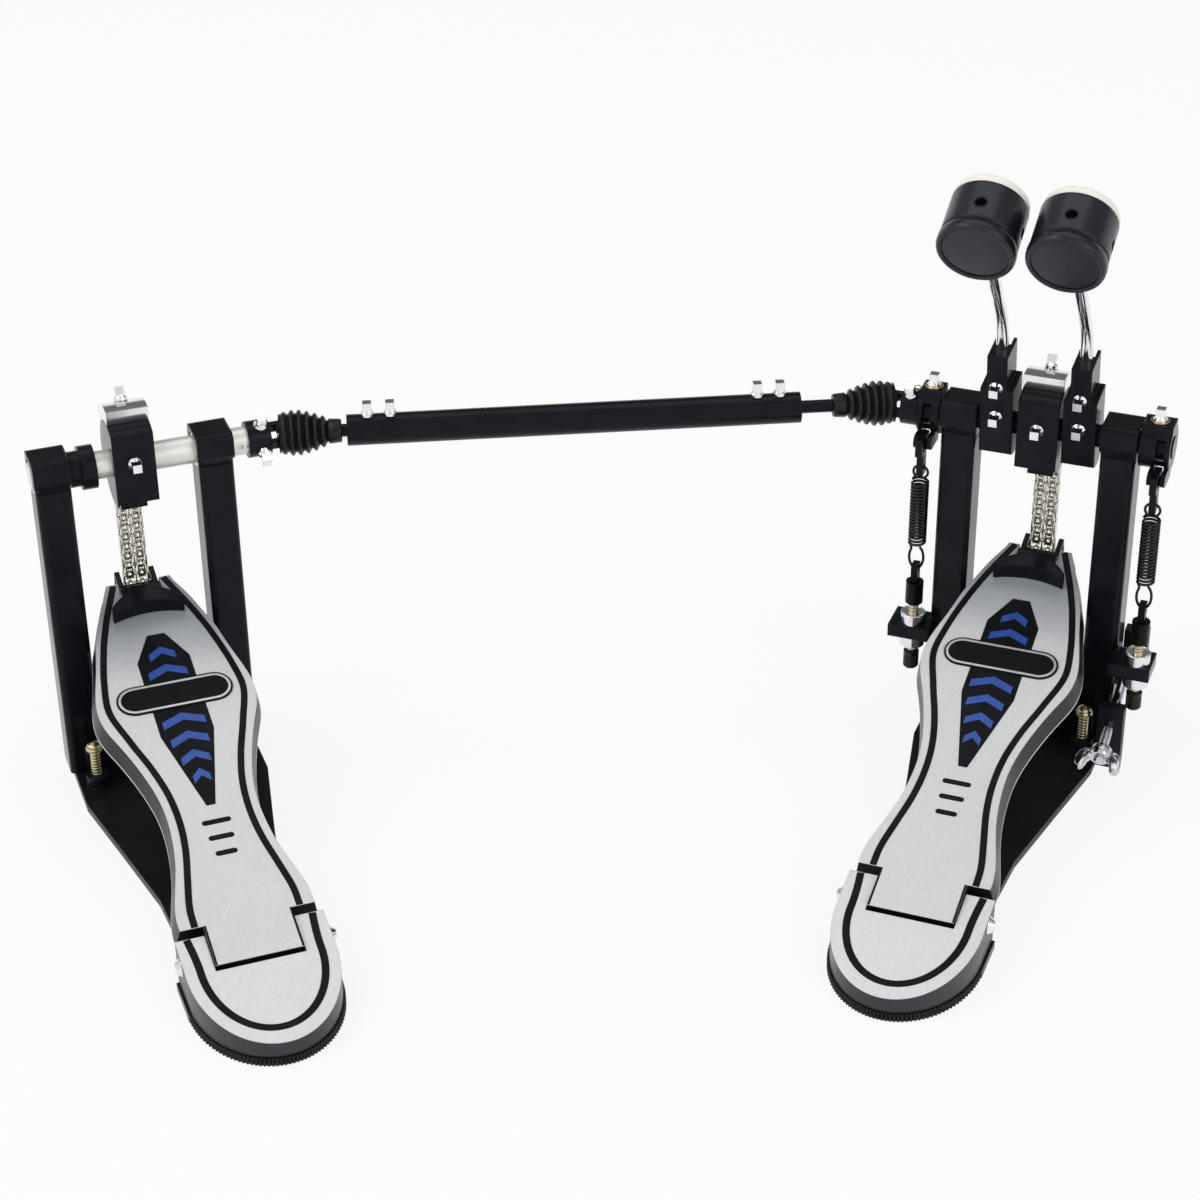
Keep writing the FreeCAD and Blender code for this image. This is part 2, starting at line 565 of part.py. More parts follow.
    shell = loft(tag("board_shell"), [section("shell", s, "0", "board_top", "board_top-board_skirt", "")
                                      for s, w in board_stations])
    last = len(board_stations) - 1
    shifts = ["+board_wall" if i == 0 else "-board_wall" if i == last else "" for i in range(last + 1)]
    hollow = loft(tag("board_hollow"), [section("hollow", s, "board_wall", "board_top-board_plate",
                                                "board_top-board_skirt-cut_over", shifts[i])
                                        for i, (s, w) in enumerate(board_stations)])
    tongue = slab(tag("board_tongue"), "tongue_half", "tongue_back+board_start+board_wall", "tongue_thick",
                  "-tongue_back", "board_top-tongue_thick")
    knuckle = rod(tag("board_knuckle"), "knuckle_radius", "2*tongue_half", ("-tongue_half", "0", "0"), "x")
    hinge_bore = rod(tag("board_bore"), "pin_radius+fit_gap", "2*tongue_half+2*cut_over",
                     ("-tongue_half-cut_over", "0", "0"), "x")
    toe_notch = slab(tag("toe_notch"), "toe_notch_half", "toe_notch_long+cut_over", "board_skirt+2*cut_over",
                     "board_length-toe_notch_long", "board_top-board_skirt-cut_over")
    board = cut(tag("board_body"), fuse(tag("board_blank"), cut(tag("board_open"), shell, hollow), tongue,
                                        knuckle),
                hinge_bore, toe_notch)
    hinge_place = turned("board_slope", ("0", "-hinge_back", "hinge_high"))
    board_up = doc.addObject("Part::Compound", tag("board_tilted"))
    board_up.Links = [board]
    board_up.Placement = hinge_place
    node(tag("footboard"), [board_up], place)

    # toe block: half-moon stop on the board, strap into the toe's notch and two lugs for the chain's end pin
    stop_bar = slab(tag("stop_bar"), "stop_half", "stop_long", "stop_tall", "stop_at", "board_top")
    stop_crown = rod(tag("stop_crown"), "stop_round", "stop_long",
                     ("0", "stop_at", "board_top+stop_tall-stop_round"), "y")
    stop_back = rod(tag("stop_back"), "stop_back_round", "stop_tall",
                    ("0", "stop_at+stop_long-stop_back_round", "board_top"), "z")
    stop_front = rod(tag("stop_front"), "stop_front_round", "stop_tall+2*cut_over",
                     ("0", "stop_at+stop_front_bow-stop_front_round", "board_top-cut_over"), "z")
    arch = cut(tag("stop_arch"), common(tag("stop_moon"), common(tag("stop_top"), stop_bar, stop_crown),
                                        stop_back), stop_front)
    toe = "board_length-toe_notch_long+fit_gap"
    lug_half = "lug_inner_half+lug_thick"
    strap_from = "stop_at+stop_long/2"
    strap = slab(tag("toe_strap"), lug_half, "(%s)+lug_thick-(%s)" % (toe, strap_from), "strap_thick",
                 strap_from, "board_top")
    plate = slab(tag("toe_plate"), lug_half, "lug_thick", "board_skirt+strap_thick", toe,
                 "board_top-board_skirt")
    lug_long = "toe_along-(%s)+toe_pin_radius+lug_slot+lug_margin" % toe
    lug_top = "toe_pin_above+toe_pin_radius+lug_slot_up+lug_margin"
    pieces = [arch, strap, plate]
    slots = []
    for side, near in (("left", "-lug_inner_half-lug_thick"), ("right", "lug_inner_half")):
        pieces.append(box(tag("lug_" + side), "lug_thick", lug_long, "(%s)-board_top+board_skirt" % lug_top,
                          (near, toe, "board_top-board_skirt")))
        slots.append(box(tag("lug_slot_" + side), "lug_thick+2*cut_over", "2*(toe_pin_radius+lug_slot)",
                         "2*(toe_pin_radius+lug_slot_up)",
                         (near + "-cut_over", "toe_along-toe_pin_radius-lug_slot",
                          "toe_pin_above-toe_pin_radius-lug_slot_up")))
    block = doc.addObject("Part::Compound", tag("toe_tilted"))
    block.Links = [cut(tag("toe_body"), fuse(tag("toe_blank"), *pieces), *slots)]
    block.Placement = hinge_place
    node(tag("toe_block"), [block], place)


# Cam wheel flat on the player's side, and the clamp that holds the chain's end on its rim
def cam(prefix, place, shaft):
    def tag(name):
        return prefix + "_" + name

    centre = ("0", "axle_height")
    tilt = FreeCAD.Rotation(vec(1, 0, 0), num("clamp_bolt_at") - quarter)
    seats = [seat(("0", "clamp_radius*cos(clamp_bolt_at)", "axle_height+clamp_radius*sin(clamp_bolt_at)"),
                  tilt),
             seat(("0", "-cam_flat", "axle_height+cam_bolt_up"), to_player)]
    disc = rod(tag("cam_disc"), rim, "2*cam_half", ("-cam_half",) + centre, "x")
    lip = slab(tag("cam_lip"), "lip_half", "lip_front-lip_back", "lip_low-lip_high", "lip_back",
               "axle_height-lip_low")
    front = slab(tag("cam_front"), "cam_half+cut_over", rim, "2*%s" % rim, "-cam_flat-%s" % rim,
                 "axle_height-%s" % rim)
    bore = rod(tag("cam_bore"), shaft + "+fit_gap", "2*cam_half+2*cut_over",
               ("-cam_half-cut_over",) + centre, "x")
    body = cut(tag("cam_body"), fuse(tag("cam_blank"), disc, lip), front, bore,
               *holes(tag("cam"), seats[1:]))
    node(tag("cam_wheel"), [body], place)

    # clamp: a piece of ring with room for the chain's first link between its cheeks
    def wedge(name, half, low, high):
        corners = [("0", "0")]
        for angle in (low, high):
            corners.append(("clamp_reach*cos(%s)" % angle, "clamp_reach*sin(%s)" % angle))
        flat = extrude(tag(name), outline(tag(name + "_outline"), corners, "side"), vec(1, 0, 0),
                       "2*" + half, True)
        return put(flat, ("0", "0", "axle_height"))

    ring = common(tag("clamp_blank"),
                  rod(tag("clamp_disc"), "clamp_radius", "2*cam_half", ("-cam_half",) + centre, "x"),
                  wedge("clamp_wedge", "cam_half", "clamp_from", "clamp_to"))
    hollow = rod(tag("clamp_hollow"), "%s+clamp_gap" % rim, "2*cam_half+2*cut_over",
                 ("-cam_half-cut_over",) + centre, "x")
    room = wedge("clamp_room", "clamp_room_half", "clamp_from-clamp_open", "clamp_open")
    node(tag("cam_clamp"), [cut(tag("clamp_body"), ring, hollow, room, *holes(tag("clamp"), seats[:1]))],
         place)
    return seats


pedal("primary", None, "axle_radius", "")
pedal("slave", slave_place, "slave_axle_radius", "-")
primary_seats = cam("primary", None, "axle_radius")
slave_seats = cam("slave", slave_place, "slave_axle_radius")
chain("primary", None)
chain("slave", slave_place)

# Primary axle with a thin core that runs inside the sleeve
axle = fuse("axle_body", rod("axle_bar", "axle_radius", "axle_right+axle_step", ("-axle_step", "0",
        "axle_height"), "x"),
            rod("axle_core", "axle_core_radius", "axle_core_left", ("-axle_core_left", "0", "axle_height"),
                "x"))
node("primary_axle", [axle])

# Slave axle with two dimples beyond the right column
slave_bar = rod("slave_bar", "slave_axle_radius", "slave_axle_right+slave_axle_left",
                ("-slave_axle_left", "0", "axle_height"), "x")
dimples = [rod("dimple_%d" % i, "dimple_radius", "dimple_deep+cut_over",
               ("dimple_first+%d*dimple_step" % i, "-slave_axle_radius-cut_over", "axle_height"),
               "y") for i in range(2)]
node("slave_axle", [cut("slave_bar_body", slave_bar, *dimples)], slave_place)

# Beaters: upright hub on the axle, bent rod, head and felt leaning back from the drum
lean = turned("hub_lean", ("0", "0", "axle_height"))
bend_y = "(-rod_straight*sin(hub_lean)-rod_bend*(cos(hub_lean)-cos(rod_lean)))"
bend_z = "(rod_straight*cos(hub_lean)+rod_bend*(sin(rod_lean)-sin(hub_lean)))"
tip_y = "(%s-rod_reach*sin(rod_lean))" % bend_y
tip_z = "(axle_height+%s+rod_reach*cos(rod_lean))" % bend_z
tip = turned("rod_lean", ("0", tip_y, tip_z))
face = turned("rod_lean-head_flat", ("0", tip_y, tip_z))


def beater(side, x, shaft):
    def tag(name):
        return side + "_" + name

    seats = [seat((x, "-hub_deep/2", "hub_bolt_low+%d*hub_bolt_step" % i), to_player) for i in range(2)]
    ring = rod(tag("hub_ring"), "hub_ring_radius", "2*hub_half", (x + "-hub_half", "0", "0"), "x")
    flat = box(tag("hub_flat"), "2*hub_half", "hub_deep", "2*hub_tall",
               (x + "-hub_half", "-hub_deep/2", "-hub_tall"))
    block = box(tag("hub_block"), "2*hub_half", "hub_deep", "hub_neck_low",
                (x + "-hub_half", "-hub_deep/2", "0"))
    neck = box(tag("hub_neck"), "2*hub_neck_half", "hub_deep", "hub_tall",
               (x + "-hub_neck_half", "-hub_deep/2", "0"))
    fork = box(tag("hub_fork"), "2*hub_fork_half", "hub_deep+2*cut_over", "hub_tall",
               (x + "-hub_fork_half", "beater_rod_radius", "hub_fork_low"))
    bore = rod(tag("hub_bore"), shaft + "+fit_gap", "2*hub_half+2*cut_over",
               (x + "-hub_half-cut_over", "0", "0"), "x")
    rod_bore = rod(tag("hub_rod_bore"), "beater_rod_radius+fit_gap", "hub_tall", (x, "0", "hub_bore_low"))
    blank = fuse(tag("hub_blank"), common(tag("hub_foot"), ring, flat), block, neck)
    node(tag("beater_hub"), [cut(tag("hub_body"), blank, fork, bore, rod_bore, *holes(tag("hub"), seats))],
         lean)

    # rod: straight in the hub, a bend above it, straight into the head
    low = vec(num(x), num("-beater_rod_low*sin(hub_lean)"), num("axle_height+beater_rod_low*cos(hub_lean)"))
    start = vec(num(x), num("-rod_straight*sin(hub_lean)"), num("axle_height+rod_straight*cos(hub_lean)"))
    half_lean = "(hub_lean+rod_lean)/2"
    middle = vec(num(x), start.y - num("rod_bend*(cos(hub_lean)-cos(%s))" % half_lean),
                 start.z + num("rod_bend*(sin(%s)-sin(hub_lean))" % half_lean))
    ending = vec(num(x), num(bend_y), num("axle_height+" + bend_z))
    over = num("beater_rod_in")
    top = vec(num(x), num(tip_y) - over * num("sin(rod_lean)"), num(tip_z) + over * num("cos(rod_lean)"))
    path = Part.Wire([Part.LineSegment(low, start).toShape(), Part.Arc(start, middle, ending).toShape(),
                      Part.LineSegment(ending, top).toShape()])
    circle = Part.Circle(low, start - low, num("beater_rod_radius")).toShape()
    line = doc.addObject("Part::Feature", tag("stem_line"))
    line.Shape = path
    round_end = doc.addObject("Part::Feature", tag("stem_end"))
    round_end.Shape = Part.Wire([circle])
    stem = doc.addObject("Part::Sweep", tag("stem"))
    stem.Sections = [round_end]
    stem.Spine = (line, ["Edge1", "Edge2", "Edge3"])
    stem.Solid = True
    node(tag("beater_rod"), [stem])

    profile = [("0", "-head_back-head_dome"), ("head_round/2", "-head_back-head_dome*3/4"),
               ("head_round-head_dome", "-head_back"), ("head_round", "-head_back+head_dome"),
               ("head_round", "-head_back+head_lip"),
               ("head_round-head_groove_deep", "-head_back+head_lip"),
               ("head_round-head_groove_deep", "-head_back+head_lip+head_groove"),
               ("head_round", "-head_back+head_lip+head_groove"), ("head_round", "head_front"),
               ("0", "head_front")]
    shape = spin(tag("head_shape"), outline(tag("head_profile"), profile), vec(0, 1, 0))
    put(shape, (x, "0", "0"))
    rod_bore = rod(tag("head_rod_bore"), "beater_rod_radius+fit_gap", "2*head_round+beater_rod_in+fit_gap",
                   (x, "0", "-2*head_round"))
    tools = [again(tag("head_rod_hole"), rod_bore, face.inverse().multiply(tip))]
    tools.append(rod(tag("head_hole_top"), "head_hole_radius", "head_hole_deep+cut_over",
                     (x, "0", "head_round-head_hole_deep")))
    tools.append(rod(tag("head_hole_right"), "head_hole_radius", "head_hole_deep+cut_over",
                     (x + "+head_round-head_hole_deep", "0", "0"), "x"))
    tools.append(rod(tag("head_hole_left"), "head_hole_radius", "head_hole_deep+cut_over",
                     (x + "-head_round-cut_over", "0", "0"), "x"))
    node(tag("beater_head"), [cut(tag("head_body"), shape, *tools)], face)
    soft = [("0", "head_front+felt_gap"), ("felt_round", "head_front+felt_gap"),
            ("felt_round", "head_front+felt_gap+felt_long-felt_dome"),
            ("felt_round-felt_dome", "head_front+felt_long-felt_dome/4"),
            ("0", "head_front+felt_gap+felt_long")]
    felt = spin(tag("felt_shape"), outline(tag("felt_profile"), soft), vec(0, 1, 0))
    node(tag("beater_felt"), [put(felt, (x, "0", "0"))], face)
    return [lean.multiply(s) for s in seats]


right_seats = beater("right", "hub_right_at", "axle_radius")
left_seats = beater("left", "-hub_left_at", "axle_radius")


# Rockers at the axle ends, swivel hangers, springs and tension bolts
def rocker(side, sign, shaft):
    def tag(name):
        return side + "_" + name

    wide = side + "_rocker_wide"
    hang = "%s%s_spring_at" % (sign, side)
    left = "rocker_near" if sign == "" else "-rocker_near-" + wide
    mid = "%s(rocker_near+%s/2)" % (sign, wide)
    place = seat((mid, "0", "axle_height+rocker_top"), up)
    ring = rod(tag("rocker_ring"), "rocker_ring_radius", wide, (left, "0", "axle_height"), "x")
    pad = box(tag("rocker_pad"), wide, "2*rocker_pad_half", "rocker_top",
              (left, "-rocker_pad_half", "axle_height"))
    drop = "axle_height-arm_drop"
    pieces = [ring, pad]
    for i, near in enumerate(("-arm_slot_half-arm_thick", "arm_slot_half")):
        x = hang + (near if near[0] == "-" else "+" + near)
        pieces.append(box(tag("arm_bar_%d" % i), "arm_thick", "arm_back", "2*arm_half",
                          (x, "-arm_back", drop + "-arm_half")))
        pieces.append(rod(tag("arm_eye_%d" % i), "arm_half", "arm_thick", (x, "-arm_back", drop), "x"))
    room = box(tag("rocker_room"), "2*arm_slot_half", "2*spring_back", "2*spring_back+rocker_room_up",
               (hang + "-arm_slot_half", "-2*spring_back", "axle_height-2*spring_back"))
    core = rod(tag("rocker_core"), "rocker_core_radius", wide, (left, "0", "axle_height"), "x")
    open_body = cut(tag("rocker_open"), fuse(tag("rocker_blank"), *pieces), room)
    bore = rod(tag("rocker_bore"), shaft + "+fit_gap", wide + "+2*cut_over",
               (left + "-cut_over", "0", "axle_height"), "x")
    pin = rod(tag("arm_pin"), "arm_pin_radius", "2*(arm_slot_half+arm_thick)",
              (hang + "-arm_slot_half-arm_thick", "-arm_back", drop), "x")
    node(tag("rocker"), [cut(tag("rocker_body"), fuse(tag("rocker_whole"), open_body, core, pin), bore,
                             *holes(tag("rocker"), [place]))])

    # hanger with a slotted eye above and a hook hole below
    x = hang
    eye = box(tag("hanger_eye"), "hanger_thick", "2*hanger_eye_half", "2*hanger_eye_tall",
              (x + "-hanger_thick/2", "-spring_back-hanger_eye_half", drop + "-hanger_eye_tall"))
    neck = box(tag("hanger_neck"), "hanger_thick", "2*hanger_neck_half", "hanger_long+hanger_eye_tall",
               (x + "-hanger_thick/2", "-spring_back-hanger_neck_half",
                drop + "-hanger_long-hanger_eye_tall"))
    slot = box(tag("hanger_slot"), "hanger_thick+2*cut_over", "2*hanger_slot_half", "2*hanger_slot_tall",
               (x + "-hanger_thick/2-cut_over", "-spring_back-hanger_slot_half",
                drop + "-hanger_slot_tall"))
    hook_hole = rod(tag("hanger_hole"), "hanger_hole_radius", "hanger_thick+2*cut_over",
                    (x + "-hanger_thick/2-cut_over", "-spring_back", drop + "-hanger_long"), "x")
    node(tag("spring_hanger"), [cut(tag("hanger_body"), fuse(tag("hanger_blank"), eye, neck), slot,
                                    hook_hole)])

    # tension bolt: threaded shank through the ear, swivel and a tab for the spring's lower hook
    hook_at = "coil_low-hook_drop-hook_radius"
    tab_low = "%s+eye_tab_over-eye_tab_tall" % hook_at
    shank = rod(tag("tension_shank"), "tension_radius", "%s-tension_low" % tab_low,
                (x, "-spring_back", "tension_low"))
    swivel = rod(tag("tension_eye"), "eye_radius", "eye_tall", (x, "-spring_back", "%s-eye_tall" % tab_low))
    tab = box(tag("tension_tab"), "2*eye_tab_half", "2*hanger_neck_half", "eye_tab_tall",
              (x + "-eye_tab_half", "-spring_back-hanger_neck_half", tab_low))
    hole = rod(tag("tension_hole"), "eye_hole_radius", "2*eye_tab_half+2*cut_over",
               (x + "-eye_tab_half-cut_over", "-spring_back", hook_at), "x")
    bolt = cut(tag("tension_body"), fuse(tag("tension_blank"), shank, swivel, tab), hole)
    nuts = []
    for name, low in (("upper", "ear_low+ear_thick+nut_gap"), ("lower", "ear_low-nut_gap-nut_tall")):
        disc = rod(tag("nut_" + name), "nut_radius", "nut_tall", (x, "-spring_back", low))
        nuts.append(cut(tag("nut_body_" + name), disc,
                        rod(tag("nut_bore_" + name), "tension_radius+fit_gap", "nut_tall+2*cut_over",
                            (x, "-spring_back", low + "-cut_over"))))
    return place, bolt, nuts


right_rocker_seat, right_bolt, right_nuts = rocker("right", "", "axle_radius")
left_rocker_seat, left_bolt, left_nuts = rocker("left", "-", "axle_radius")
node("tension_bolts", [left_bolt, right_bolt])
node("tension_nuts", left_nuts + right_nuts)


# Arc from a point along a way to another point
def arc_to(start, way, end):
    flat = end - start
    long = flat.Length
    flat.normalize()
    across = way - flat * way.dot(flat)
    if across.Length < 1e-6:
        return Part.LineSegment(start, end).toShape()
    across.normalize()
    angle = math.acos(max(-1, min(1, way.dot(flat))))
    middle = (start + end) * 0.5 + across * (long / 2 * math.tan(angle / 2))
    return Part.Arc(start, middle, end).toShape()


# Two tangent arcs between two points with set directions
def biarc(first, way_in, second, way_out):
    span = second - first
    ways = way_in + way_out
    spread = 2 * (1 - way_in.dot(way_out))
    reach = span.dot(ways)
    if abs(spread) < 1e-9:
        size = span.dot(span) / (2 * reach)
    else:
        size = (-reach + math.sqrt(reach * reach + spread * span.dot(span))) / spread
    middle = (first + second + (way_in - way_out) * size) * 0.5
    back = arc_to(second, way_out * -1, middle)
    return [arc_to(first, way_in, middle), back]


# Return spring: one wire wound up from a lower hook to an upper hook
def spring(side, sign):
    x = num("%s%s_spring_at" % (sign, side))
    y = num("-spring_back")
    low = num("coil_low")
    radius = num("coil_radius")
    rise = num("coil_pitch")
    turns = int(num("coil_count"))
    hook = num("hook_radius")
    lift = num("hook_rise")
    drop = num("hook_drop")
    top = low + rise * turns

    def on_coil(share):
        angle = 2 * math.pi * share
        spot = vec(x + radius * math.cos(angle), y + radius * math.sin(angle), low + rise * share)
        way = vec(-radius * math.sin(angle), radius * math.cos(angle), rise / (2 * math.pi))
        way.normalize()
        return spot, way

    stations = [(vec(x + hook, y, low - drop), vec(0, 0, -1)),
                (vec(x, y, low - drop - hook), vec(-1, 0, 0)),
                (vec(x - hook, y, low - drop), vec(0, 0, 1))]
    quarters = 4
    stations += [on_coil(0.5 + k / quarters) for k in range(quarters * (turns - 1) + 1)]
    stations += [(vec(x - hook, y, top + lift), vec(0, 0, 1)), (vec(x, y, top + lift + hook), vec(1, 0, 0)),
                 (vec(x + hook, y, top + lift), vec(0, 0, -1))]
    edges = []
    for (a, wa), (b, wb) in zip(stations, stations[1:]):
        edges += biarc(a, wa, b, wb)
    path = Part.Wire(Part.__sortEdges__(edges))
    ring = Part.Circle(stations[0][0], stations[0][1], num("wire_radius")).toShape()
    pipe = Part.BRepOffsetAPI.MakePipeShell(path)
    pipe.add(Part.Wire([ring]))
    pipe.build()
    pipe.makeSolid()
    thing = doc.addObject("Part::Feature", side + "_wire")
    thing.Shape = pipe.shape()
    node(side + "_return_spring", [thing])
    spots = []
    for edge in path.Edges:
        step = (edge.LastParameter - edge.FirstParameter) / quarters
        spots += [edge.valueAt(edge.FirstParameter + step * k) for k in range(quarters)]
    marks = [0]
    for p, q in zip(spots, spots[1:]):
        marks.append(marks[-1] + (q - p).Length)
    least = min((p - q).Length for i, p in enumerate(spots) for j, q in enumerate(spots[:i])
                if marks[i] - marks[j] > 6 * num("wire_radius"))
    print("%s spring: %d turns, least gap to itself %.2f mm" % (side, turns,
                                                                least - 2 * num("wire_radius")))


spring("left", "-")
spring("right", "")

# Universal joints: yoke on each axle, cross, fork on each shaft rod
run_x = "(-primary_joint_at-slave_x-slave_joint_at*cos(slave_turn))"
run_y = "(-slave_y-slave_joint_at*sin(slave_turn))"
span = "sqrt(%s^2+%s^2)" % (run_x, run_y)
tube_long = "(%s-tube_start-tube_end)" % span
bend = "atan2(%s; %s)" % (run_y, run_x)
slave_joint = vec(num("slave_x+slave_joint_at*cos(slave_turn)"),
                  num("slave_y+slave_joint_at*sin(slave_turn)"),
                  num("axle_height"))
primary_joint = vec(num("-primary_joint_at"), 0, num("axle_height"))
shaft_way = primary_joint - slave_joint
shaft_way.normalize()
slave_way = vec(num("cos(slave_turn)"), num("sin(slave_turn)"), 0)


# Pair of arms along x that reach past the joint centre, with pin holes along y
def arms(name, root, hole_gap):
    pieces = []
    for i, near in enumerate(("-arm_outer", "arm_inner")):
        pieces.append(box("%s_arm_%d" % (name, i), root + "+arm_end", "arm_outer-arm_inner", "2*arm_side",
                          ("-(%s)" % root, near, "-arm_side")))
    bore = rod(name + "_arm_bore", "cross_radius+" + hole_gap, "2*arm_outer+2*cut_over",
               ("0", "-arm_outer-cut_over", "0"), "y")
    return pieces, bore


def cross(name):
    return fuse(name + "_body", rod(name + "_first", "cross_radius", "2*cross_half", ("0", "-cross_half",
            "0"), "y"),
                rod(name + "_second", "cross_radius", "2*cross_half", ("0", "0", "-cross_half")),
                box(name + "_block", "cross_block", "cross_block", "cross_block",
                    ("-cross_block/2", "-cross_block/2", "-cross_block/2")))


def frame_of(way, pin, at):
    third = way.cross(pin)
    return FreeCAD.Placement(at, FreeCAD.Rotation(way, pin, third))


# pins lie level at half travel, so at rest the yokes stand half a travel back
def joint(prefix, axle_way, rod_way, at):
    level = vec(0, 0, 1).cross(axle_way)
    pin = FreeCAD.Rotation(axle_way, num("half_travel") * (1 if axle_way.x > 0 else -1)).multVec(level)
    other = pin.cross(rod_way)
    other.normalize()
    body = cross(prefix + "_joint_cross")
    node(prefix + "_joint_cross", [body], frame_of(pin.cross(other), pin, at))
    print("%s joint: pin %s other %s" % (prefix, [round(c, 4) for c in pin], [round(c, 4) for c in other]))
    return pin, other


slave_pin, slave_other = joint("slave", slave_way, shaft_way, slave_joint)
primary_pin, primary_other = joint("primary", vec(-1, 0, 0), shaft_way * -1, primary_joint)


def yoke(name, near, centre, shaft, bored):
    root = "%s-(%s)" % (centre, near)
    hub_long = "%s-yoke_hub_gap" % root
    pieces, bore = arms(name, root + "-(%s)/2" % hub_long, "fit_gap")
    hub = rod(name + "_hub", "yoke_hub_radius", hub_long, ("-(%s)" % root, "0", "0"), "x")
    seats = [seat(("-yoke_bolt_setback", "0", "yoke_hub_radius"), up),
             seat(("-yoke_bolt_setback", "-yoke_hub_radius", "0"), to_player)]
    tools = [bore] + holes(name, seats)
    if bored:
        tools.append(rod(name + "_socket", shaft + "+fit_gap", bored + "+cut_over",
                         ("-(%s)-cut_over" % root, "0", "0"), "x"))
    return fuse(name + "_blank", hub, *pieces), tools, seats


# Sleeve over the primary axle's core, with the drive yoke at its outer end
blank, tools, seats = yoke("primary_yoke", "yoke_hub_near", "primary_joint_at", "axle_radius", "")
yoke_place = frame_of(vec(-1, 0, 0), primary_pin, primary_joint)
fork_end = cut("primary_yoke_body", blank, *tools)
fork_end.Placement = yoke_place
primary_yoke_seats = [yoke_place.multiply(s) for s in seats]
tube = rod("sleeve_tube", "axle_radius", "yoke_hub_near-axle_step+cut_over/2",
           ("-yoke_hub_near-cut_over/2", "0", "axle_height"), "x")
gap_end = "axle_step+fit_gap"
trim = box("sleeve_trim", "axle_step", "4*axle_radius", "4*axle_radius",
           ("-(%s)" % gap_end, "-2*axle_radius", "axle_height-2*axle_radius"))
core = rod("sleeve_bore", "axle_core_radius+fit_gap", "axle_core_left+swing_gap",
           ("-axle_core_left-swing_gap", "0", "axle_height"), "x")
node("left_drive_sleeve", [cut("sleeve_body", fuse("sleeve_blank", tube, fork_end), trim, core)])

# Slave yoke socketed on the slave axle
blank, tools, seats = yoke("slave_yoke", "slave_yoke_near", "slave_joint_at", "slave_axle_radius",
                           "slave_axle_right-slave_yoke_near+fit_gap")
yoke_place = frame_of(slave_way, slave_pin, slave_joint)
node("slave_joint_yoke", [cut("slave_yoke_body", blank, *tools)], yoke_place)
slave_yoke_seats = [yoke_place.multiply(s) for s in seats]


# Shaft rod with its fork, built from the joint centre along x
def shaft_rod(name, long):
    bore = rod(name + "_arm_bore", "cross_radius+fork_hole_gap", "2*arm_outer+2*cut_over",
               ("0", "-arm_outer-cut_over", "0"), "y")
    hub_pieces = []
    for i, near in enumerate(("-arm_outer", "arm_inner")):
        hub_pieces.append(box("%s_reach_%d" % (name, i), "fork_hub_near+fork_hub_thick/2+arm_end",
                              "arm_outer-arm_inner",
                              "2*arm_side", ("-arm_end", near, "-arm_side")))
    hub = rod(name + "_hub", "fork_hub_radius", "fork_hub_thick", ("fork_hub_near", "0", "0"), "x")
    bar = rod(name + "_bar", "shaft_radius", long, ("fork_hub_near", "0", "0"), "x")
    return cut(name + "_body", fuse(name + "_blank", hub, bar, *hub_pieces), bore)


def boot(name):
    step = "(boot_ahead-boot_bore_long/2)/(2*%d)" % int(num("boot_ribs"))
    points = [("-boot_behind", "boot_bore"), ("-boot_behind", "boot_root")]
    for i in range(int(num("boot_ribs"))):
        start = "-boot_behind+%d*%s" % (2 * i, step)
        drop = "%d*(boot_rib-boot_end)/(3*boot_ribs)" % i
        points.append(("%s+%s/2" % (start, step), "boot_rib-" + drop))
        points.append(("%s+%s" % (start, step), "boot_rib-" + drop))
        points.append(("%s+3*%s/2" % (start, step), "boot_root-" + drop))
        points.append(("%s+2*%s" % (start, step), "boot_root-" + drop))
    points += [("boot_ahead", "boot_end"), ("boot_ahead", "shaft_radius+fit_gap"),
               ("boot_bore_long+fit_gap", "shaft_radius+fit_gap"),
               ("boot_bore_long+fit_gap", "fork_hub_radius+fit_gap"),
               ("fork_hub_near", "fork_hub_radius+fit_gap"), ("fork_hub_near-board_wall", "boot_bore")]
    return spin(name + "_shape", outline(name + "_profile", points), vec(1, 0, 0))


slave_rod_long = "tube_end+rod_in_tube-fork_hub_near"
primary_rod_long = "tube_start+rod_in_tube-fork_hub_near"
slave_rod_place = frame_of(shaft_way, slave_other, slave_joint)
primary_rod_place = frame_of(shaft_way * -1, primary_other, primary_joint)
node("slave_joint_rod", [shaft_rod("slave_rod", slave_rod_long)], slave_rod_place)
node("primary_joint_rod", [shaft_rod("primary_rod", primary_rod_long)], primary_rod_place)
node("slave_joint_boot", [boot("slave_boot")], slave_rod_place)
node("primary_joint_boot", [boot("primary_boot")], primary_rod_place)

# Drive tube between the rods, with two key bolts near each end
shaft_place = FreeCAD.Placement(slave_joint, FreeCAD.Rotation(vec(0, 0, 1), num(bend)))
tube_ends = [num("tube_end"), num("tube_end") + num(tube_long)]
seats = []
for end, way in zip(tube_ends, (1, -1)):
    for i in range(2):
        shift = num("tube_bolt_first") + i * num("tube_bolt_step")
        seats.append(FreeCAD.Placement(vec(end + way * shift, 0, num("tube_radius")), up))
outer = rod("tube_outer", "tube_radius", tube_long, ("tube_end", "0", "0"), "x")
inner = rod("tube_bore", "shaft_radius+fit_gap", tube_long + "+2*cut_over",
            ("tube_end-cut_over", "0", "0"), "x")
node("drive_tube", [cut("tube_body", outer, inner, *holes("tube", seats))], shaft_place)
node("drive_tube_bolts", bolts("tube_bolt", seats), shaft_place)

